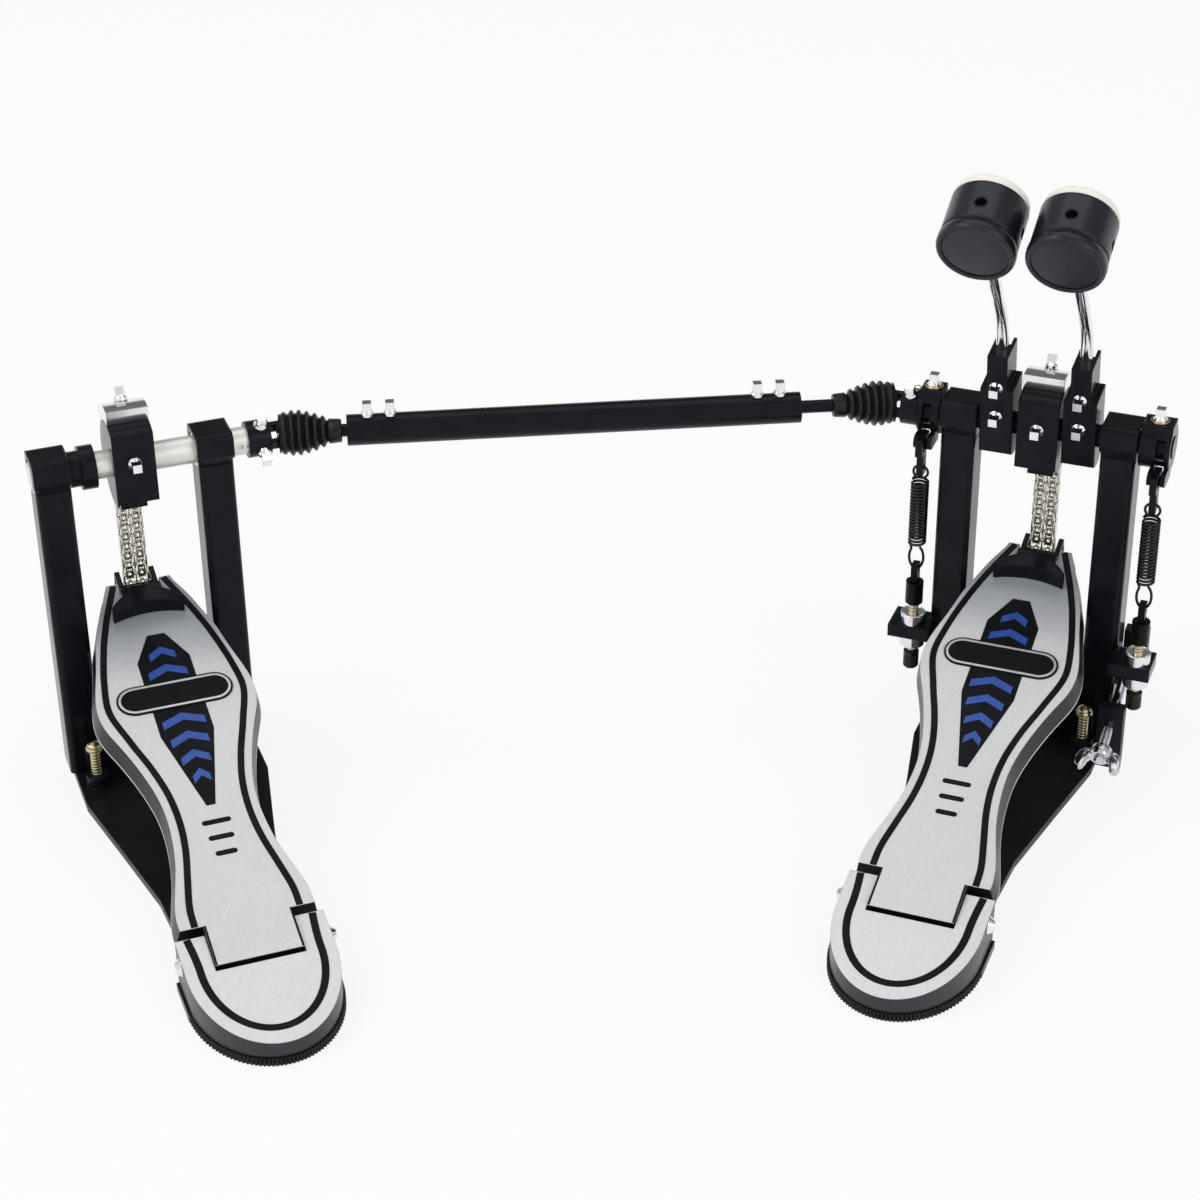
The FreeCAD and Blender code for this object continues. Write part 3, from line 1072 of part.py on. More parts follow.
# Stop collar on the slave axle: a flange with its bolt and a neck towards the column
collar_seat = seat(("-collar_at", "collar_radius", "axle_height"), to_drum)
collar_far = "-collar_at-collar_half-collar_neck"
collar_blank = fuse("collar_blank", rod("collar_ring", "collar_radius", "2*collar_half",
                                        ("-collar_at-collar_half", "0", "axle_height"), "x"),
                    rod("collar_neck_ring", "collar_neck_radius", "collar_neck+collar_half",
                        (collar_far, "0", "axle_height"), "x"))
collar = cut("collar_body", collar_blank,
             rod("collar_bore", "slave_axle_radius+fit_gap", "2*collar_half+collar_neck+2*cut_over",
                 (collar_far + "-cut_over", "0", "axle_height"), "x"),
             *holes("collar", [collar_seat]))
node("slave_stop_collar", [collar], slave_place)

# Key bolts by the shaft that carries them
node("primary_axle_bolts", bolts("axle_bolt", primary_seats + right_seats + [right_rocker_seat]))
node("left_sleeve_bolts", bolts("sleeve_bolt", left_seats + [left_rocker_seat] + primary_yoke_seats))
slave_frame = turned("slave_turn", ("slave_x", "slave_y", "0"), vec(0, 0, 1))
node("slave_axle_bolts",
     bolts("slave_bolt", [slave_frame.multiply(s) for s in slave_seats + [collar_seat]] + slave_yoke_seats))

# Hoop clamp: screw with a knob along the right column, and the jaw it closes
screw = fuse("screw_body", rod("screw_bar", "screw_radius", "screw_front+knob_start", ("0", "-knob_start",
        "0"), "y"),
             rod("screw_knob", "knob_radius", "knob_long", ("0", "-knob_start-knob_long", "0"), "y"),
             cone("screw_neck", "knob_radius", "knob_neck_radius", "knob_long/4",
                  ("0", "-knob_start", "0"), "y"))
node("hoop_clamp_screw", [screw], screw_place)
jaw_parts = [rod("jaw_eye", "jaw_eye_radius", "2*jaw_half",
                 ("-jaw_half", "jaw_axis_front", "jaw_axis_high"), "x"),
             slab("jaw_bar", "jaw_half", "jaw_front-jaw_axis_front", "jaw_thick", "jaw_axis_front",
                  "jaw_low"),
             box("jaw_tail", "screw_at+jaw_tail_over", "jaw_tail_deep", "jaw_thick",
                 ("0", "jaw_tail_near", "jaw_low")),
             box("jaw_horn", "2*jaw_tail_over", "jaw_tail_deep", "jaw_tail_top-jaw_low",
                 ("screw_at-jaw_tail_over", "jaw_tail_near", "jaw_low"))]
jaw_bore = rod("jaw_bore", "jaw_pin_radius+fit_gap", "2*jaw_half+2*cut_over",
               ("-jaw_half-cut_over", "jaw_axis_front", "jaw_axis_high"), "x")
node("hoop_clamp_jaw", [cut("jaw_body", fuse("jaw_blank", *jaw_parts), jaw_bore)])

# Check every object and solid, then write one file for each node
doc.recompute()
bad = [o.Name for o in doc.Objects if "Invalid" in o.State or "Error" in o.State]
for name, thing in nodes.items():
    shape = thing.Shape
    if shape.isNull() or not shape.isValid() or not shape.Solids:
        bad.append(name)
if bad:
    raise RuntimeError("not built: " + ", ".join(bad))
for name, thing in nodes.items():
    thing.Shape.exportStep("parts/%s.step" % name)
print("%d nodes" % len(nodes))
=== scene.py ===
import bpy
import math
from mathutils import Matrix, Vector


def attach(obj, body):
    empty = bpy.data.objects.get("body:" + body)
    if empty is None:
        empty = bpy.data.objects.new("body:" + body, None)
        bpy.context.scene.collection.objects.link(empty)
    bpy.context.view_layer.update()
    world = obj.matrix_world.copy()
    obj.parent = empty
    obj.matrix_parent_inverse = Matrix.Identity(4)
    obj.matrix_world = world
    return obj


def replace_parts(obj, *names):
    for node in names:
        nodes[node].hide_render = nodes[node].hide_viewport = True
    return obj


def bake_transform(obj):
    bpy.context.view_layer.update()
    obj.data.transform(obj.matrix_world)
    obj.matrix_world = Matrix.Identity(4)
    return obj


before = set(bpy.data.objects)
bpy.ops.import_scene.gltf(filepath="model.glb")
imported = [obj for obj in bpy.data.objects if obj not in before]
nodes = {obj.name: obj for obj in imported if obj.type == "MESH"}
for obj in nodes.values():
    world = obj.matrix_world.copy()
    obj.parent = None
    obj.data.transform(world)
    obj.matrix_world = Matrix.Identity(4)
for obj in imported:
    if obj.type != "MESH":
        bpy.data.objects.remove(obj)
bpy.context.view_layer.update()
mm = 0.001
print("frame loaded with", len(nodes), "nodes")


def turned(degrees, axis):
    return Matrix.Rotation(math.radians(degrees), 4, axis)


# where the pedals, plates, beaters and springs lie, in metres and degrees
layout = {
    "slaveSpot": (-0.4689, -0.2116, 0), "slaveTurn": 41,
    "boardSpot": (0, -0.2365, 0.0231), "boardSlope": 16.15, "boardTop": 0.008,
    "heelSpot": (0, -0.3032, 0.014), "heelSlope": 12.5,
    "headSpot": (0, -0.07276, 0.3443), "headSlope": 26.5,
    "springBack": 16.9 * mm,
}
pedalPlaces = {
    "primary": Matrix.Identity(4),
    "slave": Matrix.Translation(layout["slaveSpot"]) @ turned(layout["slaveTurn"], "Z"),
}
pedalTurns = {"primary": 0, "slave": layout["slaveTurn"]}
baseBodies = {"primary": "frame", "slave": "slave_frame"}
boardTilt = Matrix.Translation(layout["boardSpot"]) @ turned(layout["boardSlope"], "X")
heelTilt = Matrix.Translation(layout["heelSpot"]) @ turned(layout["heelSlope"], "X")
headTilt = Matrix.Translation(layout["headSpot"]) @ turned(layout["headSlope"], "X")
beaterX = {"left": -0.0243, "right": 0.0233}
springX = {"left": -0.0649, "right": 0.0694}
shaftWay = Vector((0.89713909, 0.44174818, 0))
jointSpots = {"slave": Vector((-0.40248556, -0.15386681, 0.197)),
              "primary": Vector((-0.09, 0, 0.197))}


# finishes
def makeFinish(name, colour, rough, metal=0.0, sheen=0.0, gloss=0.5):
    mat = bpy.data.materials.new(name)
    mat.use_nodes = True
    shader = mat.node_tree.nodes["Principled BSDF"]
    shader.inputs["Base Color"].default_value = (*colour, 1)
    shader.inputs["Roughness"].default_value = rough
    shader.inputs["Metallic"].default_value = metal
    shader.inputs["Sheen Weight"].default_value = sheen
    shader.inputs["Specular IOR Level"].default_value = gloss
    return mat, mat.node_tree, shader


def objectCoords(tree, stretch=(1, 1, 1), turn=(0, 0, 0)):
    coords = tree.nodes.new("ShaderNodeTexCoord")
    mapping = tree.nodes.new("ShaderNodeMapping")
    mapping.inputs["Scale"].default_value = stretch
    mapping.inputs["Rotation"].default_value = turn
    tree.links.new(coords.outputs["Object"], mapping.inputs["Vector"])
    return mapping.outputs["Vector"]


def noise(tree, where, scale, detail=4, rough=0.55):
    tex = tree.nodes.new("ShaderNodeTexNoise")
    tex.inputs["Scale"].default_value = scale
    tex.inputs["Detail"].default_value = detail
    tex.inputs["Roughness"].default_value = rough
    tree.links.new(where, tex.inputs["Vector"])
    return tex.outputs["Fac"]


def ramp(tree, value, stops):
    node = tree.nodes.new("ShaderNodeValToRGB")
    band = node.color_ramp
    while len(band.elements) < len(stops):
        band.elements.new(0.5)
    for mark, (at, colour) in zip(band.elements, stops):
        mark.position = at
        mark.color = (*colour, 1) if isinstance(colour, tuple) else (colour, colour, colour, 1)
    tree.links.new(value, node.inputs["Fac"])
    return node.outputs["Color"]


def mixColour(tree, share, first, second):
    mix = tree.nodes.new("ShaderNodeMix")
    mix.data_type = "RGBA"
    tree.links.new(share, mix.inputs["Factor"])
    for socket, value in (("A", first), ("B", second)):
        spot = [s for s in mix.inputs if s.name == socket and s.type == "RGBA"][0]
        if isinstance(value, tuple):
            spot.default_value = (*value, 1)
        else:
            tree.links.new(value, spot)
    return [s for s in mix.outputs if s.type == "RGBA"][0]


# the second value is a socket or a fixed number
def calc(tree, operation, first, second):
    node = tree.nodes.new("ShaderNodeMath")
    node.operation = operation
    tree.links.new(first, node.inputs[0])
    if isinstance(second, float):
        node.inputs[1].default_value = second
    else:
        tree.links.new(second, node.inputs[1])
    return node.outputs[0]


# climbs from one value to another while the input goes from low to high
def stepAt(tree, value, low, high, start=0.0, end=1.0):
    span = tree.nodes.new("ShaderNodeMapRange")
    ends = {"From Min": low, "From Max": high, "To Min": start, "To Max": end}
    for socket, number in ends.items():
        span.inputs[socket].default_value = number
    tree.links.new(value, span.inputs["Value"])
    return span.outputs["Result"]


# distance along a direction, measured from a point
def alongWay(tree, way, at):
    coords = tree.nodes.new("ShaderNodeTexCoord")
    dot = tree.nodes.new("ShaderNodeVectorMath")
    dot.operation = "DOT_PRODUCT"
    dot.inputs[1].default_value = way
    tree.links.new(coords.outputs["Object"], dot.inputs[0])
    return calc(tree, "SUBTRACT", dot.outputs["Value"], Vector(way).dot(Vector(at)))


def toned(colour, share):
    return tuple(c * share for c in colour)


# colour that drifts between two tones
def tintFrom(tree, shader, value, dark, light, low=0.3, high=0.75):
    tree.links.new(ramp(tree, value, [(low, dark), (high, light)]), shader.inputs["Base Color"])


noiseSpan = (0.3, 0.7)  # most of a noise lies between these


def roughFrom(tree, shader, value, low, high):
    tree.links.new(stepAt(tree, value, *noiseSpan, low, high), shader.inputs["Roughness"])


# fine relief, with edges softened to a small radius where one is given
def bumpFrom(tree, shader, value, strength, depth, softEdge=0):
    bump = tree.nodes.new("ShaderNodeBump")
    if softEdge:
        bevel = tree.nodes.new("ShaderNodeBevel")
        bevel.inputs["Radius"].default_value = softEdge
        tree.links.new(bevel.outputs["Normal"], bump.inputs["Normal"])
    bump.inputs["Strength"].default_value = strength
    bump.inputs["Distance"].default_value = depth
    tree.links.new(value, bump.inputs["Height"])
    tree.links.new(bump.outputs["Normal"], shader.inputs["Normal"])


# painted and lacquered blacks, with orange peel and a bluish shine
paintGrain = {"cloud": 60, "patches": 25, "peel": 900, "peelDepth": 0.0001,
              "dark": 0.75, "light": 1.5, "shine": (0.84, 0.91, 1.0, 1)}
blackPaints = {
    "glossBlackPaint": {"colour": (0.0048, 0.0054, 0.0072), "rough": (0.14, 0.24), "gloss": 0.14,
                        "peel": 0.04, "softEdge": 0.0022},
    "satinBlackPaint": {"colour": (0.0056, 0.0060, 0.0078), "rough": (0.30, 0.48), "gloss": 0.20,
                        "peel": 0.12, "softEdge": 0.0012},
    "shaftBlackPaint": {"colour": (0.0048, 0.0052, 0.0070), "rough": (0.15, 0.26), "gloss": 0.15,
                        "peel": 0.05, "softEdge": 0.0012},
    "beaterBlackLacquer": {"colour": (0.0072, 0.0082, 0.0125), "rough": (0.22, 0.32), "gloss": 0.42,
                           "peel": 0.05, "softEdge": 0.0024},
    "printedBlack": {"colour": (0.005, 0.005, 0.0065), "rough": (0.34, 0.46), "gloss": 0.12,
                     "peel": 0.03, "softEdge": 0.0012},
}


def paintedBlack(name, colour, rough, gloss, peel, softEdge):
    grain = paintGrain
    mat, tree, shader = makeFinish(name, colour, rough[0], gloss=gloss)
    shader.inputs["Specular Tint"].default_value = grain["shine"]
    where = objectCoords(tree)
    cloud = noise(tree, where, grain["cloud"], detail=5)
    tintFrom(tree, shader, cloud, toned(colour, grain["dark"]), toned(colour, grain["light"]))
    roughFrom(tree, shader, noise(tree, where, grain["patches"], detail=6), *rough)
    pits = noise(tree, where, grain["peel"], detail=2)
    bumpFrom(tree, shader, pits, peel, grain["peelDepth"], softEdge)
    return mat


glossBlack, satinBlack, shaftBlack, beaterBlack, inkBlack = (
    paintedBlack(name, **look) for name, look in blackPaints.items())

# plated and bare metals, with faint scratches
metalGrain = {"cloud": 90, "patches": 180, "scratches": 1400, "depth": 0.00006,
              "softEdge": 0.0004, "dull": 0.86}
brightMetals = {
    "chromePlate": {"colour": (0.86, 0.87, 0.89), "rough": (0.05, 0.14), "scratch": 0.04},
    "silverInk": {"colour": (0.80, 0.81, 0.83), "rough": (0.30, 0.42), "scratch": 0.05},
    "knobChrome": {"colour": (0.62, 0.63, 0.66), "rough": (0.08, 0.18), "scratch": 0.05},
    "nickelLinks": {"colour": (0.77, 0.74, 0.65), "rough": (0.18, 0.34), "scratch": 0.12},
    "rollerNickel": {"colour": (0.90, 0.88, 0.83), "rough": (0.12, 0.24), "scratch": 0.08},
    "turnedSteel": {"colour": (0.80, 0.795, 0.78), "rough": (0.2, 0.34), "scratch": 0.2},
    "satinAxle": {"colour": (0.84, 0.83, 0.79), "rough": (0.34, 0.44), "scratch": 0.05,
                  "metal": 0.6},
    "blackenedWire": {"colour": (0.034, 0.034, 0.038), "rough": (0.26, 0.42), "scratch": 0.15},
    "brassWasher": {"colour": (0.66, 0.52, 0.27), "rough": (0.18, 0.32), "scratch": 0.1},
}


def brightMetal(name, colour, rough, scratch, metal=1.0):
    grain = metalGrain
    mat, tree, shader = makeFinish(name, colour, rough[0], metal)
    where = objectCoords(tree)
    cloud = noise(tree, where, grain["cloud"], detail=6)
    tintFrom(tree, shader, cloud, toned(colour, grain["dull"]), colour, low=0.25, high=0.7)
    roughFrom(tree, shader, noise(tree, where, grain["patches"], detail=6, rough=0.7), *rough)
    lines = noise(tree, where, grain["scratches"], detail=3)
    bumpFrom(tree, shader, lines, scratch, grain["depth"], grain["softEdge"])
    return mat


(chromePlate, silverInk, knobChrome, nickelLinks, rollerNickel, bareSteel, axleSteel, springWire,
 brassRing) = (brightMetal(name, **look) for name, look in brightMetals.items())

# moulded rubber
rubberLook = {"dark": (0.004, 0.004, 0.005), "light": (0.010, 0.010, 0.011), "rough": (0.26, 0.40),
              "gloss": 0.26, "cloud": 120, "patches": 60, "grain": 1600, "bump": 0.25,
              "depth": 0.0001}
rubberBlack, tree, shader = makeFinish("mouldedRubber", rubberLook["dark"], rubberLook["rough"][0],
                                       gloss=rubberLook["gloss"])
where = objectCoords(tree)
cloud = noise(tree, where, rubberLook["cloud"], detail=6)
tintFrom(tree, shader, cloud, rubberLook["dark"], rubberLook["light"])
roughFrom(tree, shader, noise(tree, where, rubberLook["patches"]), *rubberLook["rough"])
grain = noise(tree, where, rubberLook["grain"], detail=3)
bumpFrom(tree, shader, grain, rubberLook["bump"], rubberLook["depth"])

# hard felt, matted from short hairs
feltLook = {"dark": (0.84, 0.81, 0.73), "light": (0.96, 0.945, 0.895), "rough": 0.95, "sheen": 0.4,
            "hairs": 700, "nap": 1300, "bump": 0.7, "depth": 0.0004}
feltCream, tree, shader = makeFinish("hardFelt", feltLook["dark"], feltLook["rough"],
                                     sheen=feltLook["sheen"])
where = objectCoords(tree)
hairs = noise(tree, where, feltLook["hairs"], detail=8, rough=0.75)
tintFrom(tree, shader, hairs, feltLook["dark"], feltLook["light"], low=0.3, high=0.7)
nap = noise(tree, where, feltLook["nap"], detail=8, rough=0.8)
bumpFrom(tree, shader, nap, feltLook["bump"], feltLook["depth"])

# blue ink of the chevrons
blueLook = {"dark": (0.014, 0.056, 0.29), "light": (0.024, 0.090, 0.41), "rough": (0.3, 0.42),
            "metal": 0.1, "cloud": 300}
inkBlue, tree, shader = makeFinish("printedBlue", blueLook["dark"], blueLook["rough"][0],
                                   blueLook["metal"])
cloud = noise(tree, objectCoords(tree), blueLook["cloud"], detail=5)
tintFrom(tree, shader, cloud, blueLook["dark"], blueLook["light"])
roughFrom(tree, shader, cloud, *blueLook["rough"])

# brassy threads whose turns read as fine rings along z, blackened above a height
threadLook = {"dark": (0.28, 0.22, 0.12), "light": (0.72, 0.62, 0.42),
              "black": (0.012, 0.012, 0.013), "fade": 0.0005, "rough": (0.24, 0.42),
              "rings": 160, "patches": 200, "bump": 0.6, "depth": 0.0004}


def makeThread(name, blackAbove):
    look = threadLook
    mat, tree, shader = makeFinish(name, look["light"], look["rough"][0], metal=1.0)
    where = objectCoords(tree)
    wave = tree.nodes.new("ShaderNodeTexWave")
    wave.bands_direction = "Z"
    wave.inputs["Scale"].default_value = look["rings"]
    tree.links.new(where, wave.inputs["Vector"])
    tint = ramp(tree, wave.outputs["Fac"], [(0.1, look["dark"]), (0.7, look["light"])])
    high = stepAt(tree, alongWay(tree, (0, 0, 1), (0, 0, blackAbove)), 0, look["fade"])
    tree.links.new(mixColour(tree, high, tint, look["black"]), shader.inputs["Base Color"])
    roughFrom(tree, shader, noise(tree, where, look["patches"]), *look["rough"])
    bumpFrom(tree, shader, wave.outputs["Fac"], look["bump"], look["depth"])
    return mat


tensionThread = makeThread("tensionThread", blackAbove=0.0774)
spurThread = makeThread("spurThread", blackAbove=1.0)  # higher than any spur, so all brassy

# silver top with a painted shadow of the toe block near the toe, darker sides and a painted
# highlight along the bottom edge;
# top, sides and bottom edge are told apart by height over the plate's own plane
deckLook = {"dim": (0.60, 0.605, 0.62), "bright": (0.70, 0.705, 0.72), "metal": 0.12,
            # the toe tone over the toe span is a painted shadow of the toe block, darkening the
            # silver just below it
            "rough": (0.28, 0.40), "toeShadowTone": (0.34, 0.36, 0.39), "toe": (0.196, 0.236),
            # the pale edge tone is a painted highlight along the bottom edge of the sides
            "bottomHighlightTone": (0.80, 0.81, 0.82), "grain": 900, "stretch": (1, 0.06, 1), "patches": 120,
            "bump": 0.04, "depth": 0.00008, "softEdge": 0.0006, "rimFrom": 0.0004, "rimTo": 0.0001}
boardLook = {"tilt": boardTilt, "topAt": layout["boardTop"], "lift": 1.0,
             "sideTone": (0.007, 0.007, 0.0085), "gloss": 0.24, "edge": (-0.0046, -0.0040)}
heelLook = {"tilt": heelTilt, "topAt": 0.0, "lift": 1.09, "sideTone": (0.026, 0.027, 0.033),
            "gloss": 0.42, "edge": (-0.030, -0.029)}


def makeDeck(name, pedal, tilt, topAt, lift, sideTone, gloss, edge):
    look = deckLook
    mat, tree, shader = makeFinish(name, look["bright"], look["rough"][0], look["metal"],
                                   gloss=gloss)
    place = pedalPlaces[pedal] @ tilt
    up = place.to_3x3() @ Vector((0, 0, 1))
    along = place.to_3x3() @ Vector((0, 1, 0))
    height = alongWay(tree, up, place.translation)
    where = objectCoords(tree, look["stretch"], (0, 0, -math.radians(pedalTurns[pedal])))
    grain = noise(tree, where, look["grain"], rough=0.7)
    dim, bright = toned(look["dim"], lift), toned(look["bright"], lift)
    silver = ramp(tree, grain, [(0.25, dim), (0.75, bright)])
    # painted shadow: towards the toe block the silver turns to the darker toe tone
    toeShade = stepAt(tree, alongWay(tree, along, place.translation), *look["toe"])
    shaded = mixColour(tree, toeShade, silver, look["toeShadowTone"])
    # painted highlight: the sides turn pale in a thin band at their bottom edge
    sides = mixColour(tree, stepAt(tree, height, *edge), look["bottomHighlightTone"], sideTone)
    onTop = stepAt(tree, height, topAt - look["rimFrom"], topAt - look["rimTo"])
    tree.links.new(mixColour(tree, onTop, sides, shaded), shader.inputs["Base Color"])
    roughFrom(tree, shader, noise(tree, where, look["patches"], detail=5), *look["rough"])
    bumpFrom(tree, shader, grain, look["bump"], look["depth"], look["softEdge"])
    return mat


for pedal in pedalPlaces:
    boardSilver = makeDeck(pedal + "BoardSilver", pedal, **boardLook)
    heelSilver = makeDeck(pedal + "HeelSilver", pedal, **heelLook)
    nodes[pedal + "_footboard"].material_slots[0].material = boardSilver
    nodes[pedal + "_heel_plate"].material_slots[0].material = heelSilver

# the first ending that fits a node's name gives its finish
finishOf = {
    "base_plate": satinBlack, "upright_frame": glossBlack, "cam_wheel": glossBlack,
    "toe_block": glossBlack, "joint_rod": shaftBlack, "hinge_pin": chromePlate,
    "cam_clamp": chromePlate, "chain_upper": nickelLinks, "chain_drop": nickelLinks,
    "axle_bearings": bareSteel, "joint_cross": bareSteel, "heel_pad": rubberBlack,
    "joint_boot": rubberBlack, "spur": spurThread, "primary_axle": shaftBlack,
    "slave_axle": axleSteel, "beater_hub": glossBlack, "rocker": glossBlack,
    "spring_hanger": shaftBlack, "beater_rod": chromePlate, "beater_head": beaterBlack,
    "beater_felt": feltCream, "return_spring": springWire,
    "tension_bolts": tensionThread, "tension_nuts": chromePlate, "bolts": chromePlate,
    "hoop_clamp_screw": knobChrome, "left_drive_sleeve": shaftBlack, "slave_joint_yoke": shaftBlack,
    "drive_tube": shaftBlack, "slave_stop_collar": glossBlack, "hoop_clamp_jaw": satinBlack,
}
for name, thing in nodes.items():
    for ending, finish in finishOf.items():
        if name.endswith(ending):
            thing.material_slots[0].material = finish
            break
print("finishes on CAD nodes")


# modelling helpers
def clearPick():
    if bpy.context.object and bpy.context.object.mode != "OBJECT":
        bpy.ops.object.mode_set(mode="OBJECT")
    bpy.ops.object.select_all(action="DESELECT")


def pickOnly(piece):
    clearPick()
    piece.select_set(True)
    bpy.context.view_layer.objects.active = piece


# moves a piece to its place, applies that to the mesh and gives it a name and finish
def settle(piece, name, finish, place=Matrix.Identity(4)):
    pickOnly(piece)
    piece.matrix_world = place @ piece.matrix_world
    bpy.ops.object.transform_apply(location=True, rotation=True, scale=True)
    piece.name = name
    piece.data.name = name
    piece.data.materials.clear()
    piece.data.materials.append(finish)
    return piece


def applyAll(piece):
    pickOnly(piece)
    for mod in list(piece.modifiers):
        bpy.ops.object.modifier_apply(modifier=mod.name)


def thicken(piece, thick, side):
    mod = piece.modifiers.new("wall", "SOLIDIFY")
    mod.thickness = thick * mm
    mod.offset = side
    applyAll(piece)


def evenNormals(piece):
    pickOnly(piece)
    bpy.ops.object.mode_set(mode="EDIT")
    bpy.ops.mesh.select_all(action="SELECT")
    bpy.ops.mesh.remove_doubles(threshold=0.005 * mm)
    bpy.ops.mesh.normals_make_consistent(inside=False)
    bpy.ops.object.mode_set(mode="OBJECT")
    return piece


def smooth(piece, angle):
    pickOnly(piece)
    bpy.ops.object.shade_smooth_by_angle(angle=math.radians(angle))


def joinAll(parts):
    clearPick()
    for part in parts:
        part.select_set(True)
    bpy.context.view_layer.objects.active = parts[0]
    bpy.ops.object.join()
    return parts[0]


def copyOf(piece, place):
    twin = piece.copy()
    twin.data = piece.data.copy()
    bpy.context.collection.objects.link(twin)
    twin.matrix_world = place @ twin.matrix_world
    return twin


def mirrored(points):
    return [(-x, y) for x, y in reversed(points)]


# strip along a line of x, y and half width; these three shapes take millimetres
def layStrip(line, thick):
    clearPick()
    count = len(line)
    bpy.ops.mesh.primitive_grid_add(x_subdivisions=count - 1, y_subdivisions=1, size=1)
    piece = bpy.context.object
    rows = sorted(piece.data.vertices, key=lambda v: (round(v.co.y, 4), v.co.x))
    for i, (x, y, half) in enumerate(line):
        before, after = line[max(0, i - 1)], line[min(count - 1, i + 1)]
        way = Vector((after[0] - before[0], after[1] - before[1]))
        way.normalize()
        side = Vector((-way.y, way.x)) * half
        rows[i].co = ((x - side.x) * mm, (y - side.y) * mm, 0)
        rows[i + count].co = ((x + side.x) * mm, (y + side.y) * mm, 0)
    thicken(piece, thick, side=1)
    return evenNormals(piece)


# flat plate of a closed outline, given a thickness
def layPlate(outline, thick):
    clearPick()
    bpy.ops.mesh.primitive_circle_add(vertices=len(outline), radius=1, fill_type="NGON")
    piece = bpy.context.object
    for spot, (x, y) in zip(piece.data.vertices, outline):
        spot.co = (x * mm, y * mm, 0)
    bpy.ops.object.mode_set(mode="EDIT")
    bpy.ops.mesh.select_all(action="SELECT")
    bpy.ops.mesh.extrude_region_move(TRANSFORM_OT_translate={"value": (0, 0, thick * mm)})
    bpy.ops.object.mode_set(mode="OBJECT")
    return evenNormals(piece)


# round piece drawn out along z, ring by ring
def turnPiece(profile, steps, closeEnds=True):
    clearPick()
    rings = [(at * mm, radius * mm) for at, radius in profile]
    at, radius = rings[0]
    bpy.ops.mesh.primitive_circle_add(vertices=steps, radius=radius, location=(0, 0, at),
                                      fill_type="NGON" if closeEnds else "NOTHING")
    piece = bpy.context.object
    bpy.ops.object.mode_set(mode="EDIT")
    bpy.ops.mesh.select_mode(type="VERT")
    bpy.ops.mesh.select_all(action="SELECT")
    for nextAt, nextRadius in rings[1:]:
        bpy.ops.mesh.extrude_region_move(TRANSFORM_OT_translate={"value": (0, 0, nextAt - at)})
        share = nextRadius / radius
        bpy.ops.transform.resize(value=(share, share, 1), center_override=(0, 0, nextAt))
        at, radius = nextAt, nextRadius
    bpy.ops.object.mode_set(mode="OBJECT")
    return evenNormals(piece)


# smooth curve through a list of points, read at one place
def between(points, at):
    for i in range(len(points) - 1):
        if at <= points[i + 1][0] or i == len(points) - 2:
            a, b = points[i], points[i + 1]
            before = points[i - 1] if i else a
            after = points[i + 2] if i + 2 < len(points) else b
            t = min(1, max(0, (at - a[0]) / (b[0] - a[0])))
            slopeA = (b[1] - before[1]) / (b[0] - before[0]) * (b[0] - a[0])
            slopeB = (after[1] - a[1]) / (after[0] - a[0]) * (b[0] - a[0])
            return ((2 * t ** 3 - 3 * t ** 2 + 1) * a[1] + (t ** 3 - 2 * t ** 2 + t) * slopeA
                    + (3 * t ** 2 - 2 * t ** 3) * b[1] + (t ** 3 - t ** 2) * slopeB)


# board print: edge stripes, a plain panel with chevrons, cross bars and a blank plate
boardPrint = {
    "outline": [(17, 36.2), (30, 35.6), (48, 31.2), (68, 26.9), (88, 25.2), (108, 26.5), (128, 31),
                (150, 38.2), (172, 44.4), (196, 41.3), (222, 35.6), (234.5, 32.1), (247, 28.1),
                (259, 23.6), (271.5, 18.8)],
    "stripeIn": [(17, 7.9), (30, 7.7), (48, 6.6), (68, 6.1), (108, 6.0), (148, 6.6), (166, 7.0),
                 (180, 5.8), (196, 4.9), (222, 4.6), (248, 4.6), (271.5, 4.4)],
    "stripeHalf": 1.85, "stripeFrom": 17.3, "stripeTo": 270.6, "stripeSteps": 89, "thick": 0.25,
    "tongueHalf": 23.1, "tongueLine": 0.55, "tongueRun": (-9.2, 2, 16.8),
    "panel": [(96, 2.5), (150, 15), (207, 15), (227, 5)],
    "chevrons": [(217, 7.5), (203, 11), (165, 12), (151, 10.5), (137, 8), (123, 4.8)],
    "chevronDeep": 5, "chevronWide": 5.5, "chevronThick": 0.375,
    "crossBars": [(84, 8), (73, 7), (62, 6)], "crossHalf": 1.6,
    "plateAt": 179.5, "plateHalf": 33, "plateRound": 10.5, "plateThick": 0.75,
    "rimIn": 1.8, "rimHalf": 0.7, "rimThick": 1.0,
}


def edgeStripe(sign):
    low, high, steps = (boardPrint[size] for size in ("stripeFrom", "stripeTo", "stripeSteps"))
    line = []
    for i in range(steps + 1):
        at = low + (high - low) * i / steps
        half = between(boardPrint["outline"], at) - between(boardPrint["stripeIn"], at)
        line.append((sign * half, at, boardPrint["stripeHalf"]))
    return line


# outline of a bar with round ends, lying across the board
def roundBar(half, radius, at, steps=24):
    outline = []
    for sign in (1, -1):
        for i in range(steps + 1):
            a = math.pi * (i / steps - 0.5)
            x = half - radius + radius * math.cos(a)
            outline.append((sign * x, at + sign * radius * math.sin(a)))
    return outline


def chevron(at, half):
    low = at - boardPrint["chevronDeep"]
    wide = boardPrint["chevronWide"]
    return [(0, at), (half, low), (half, low - wide),
            (0, at - wide), (-half, low - wide), (-half, low)]


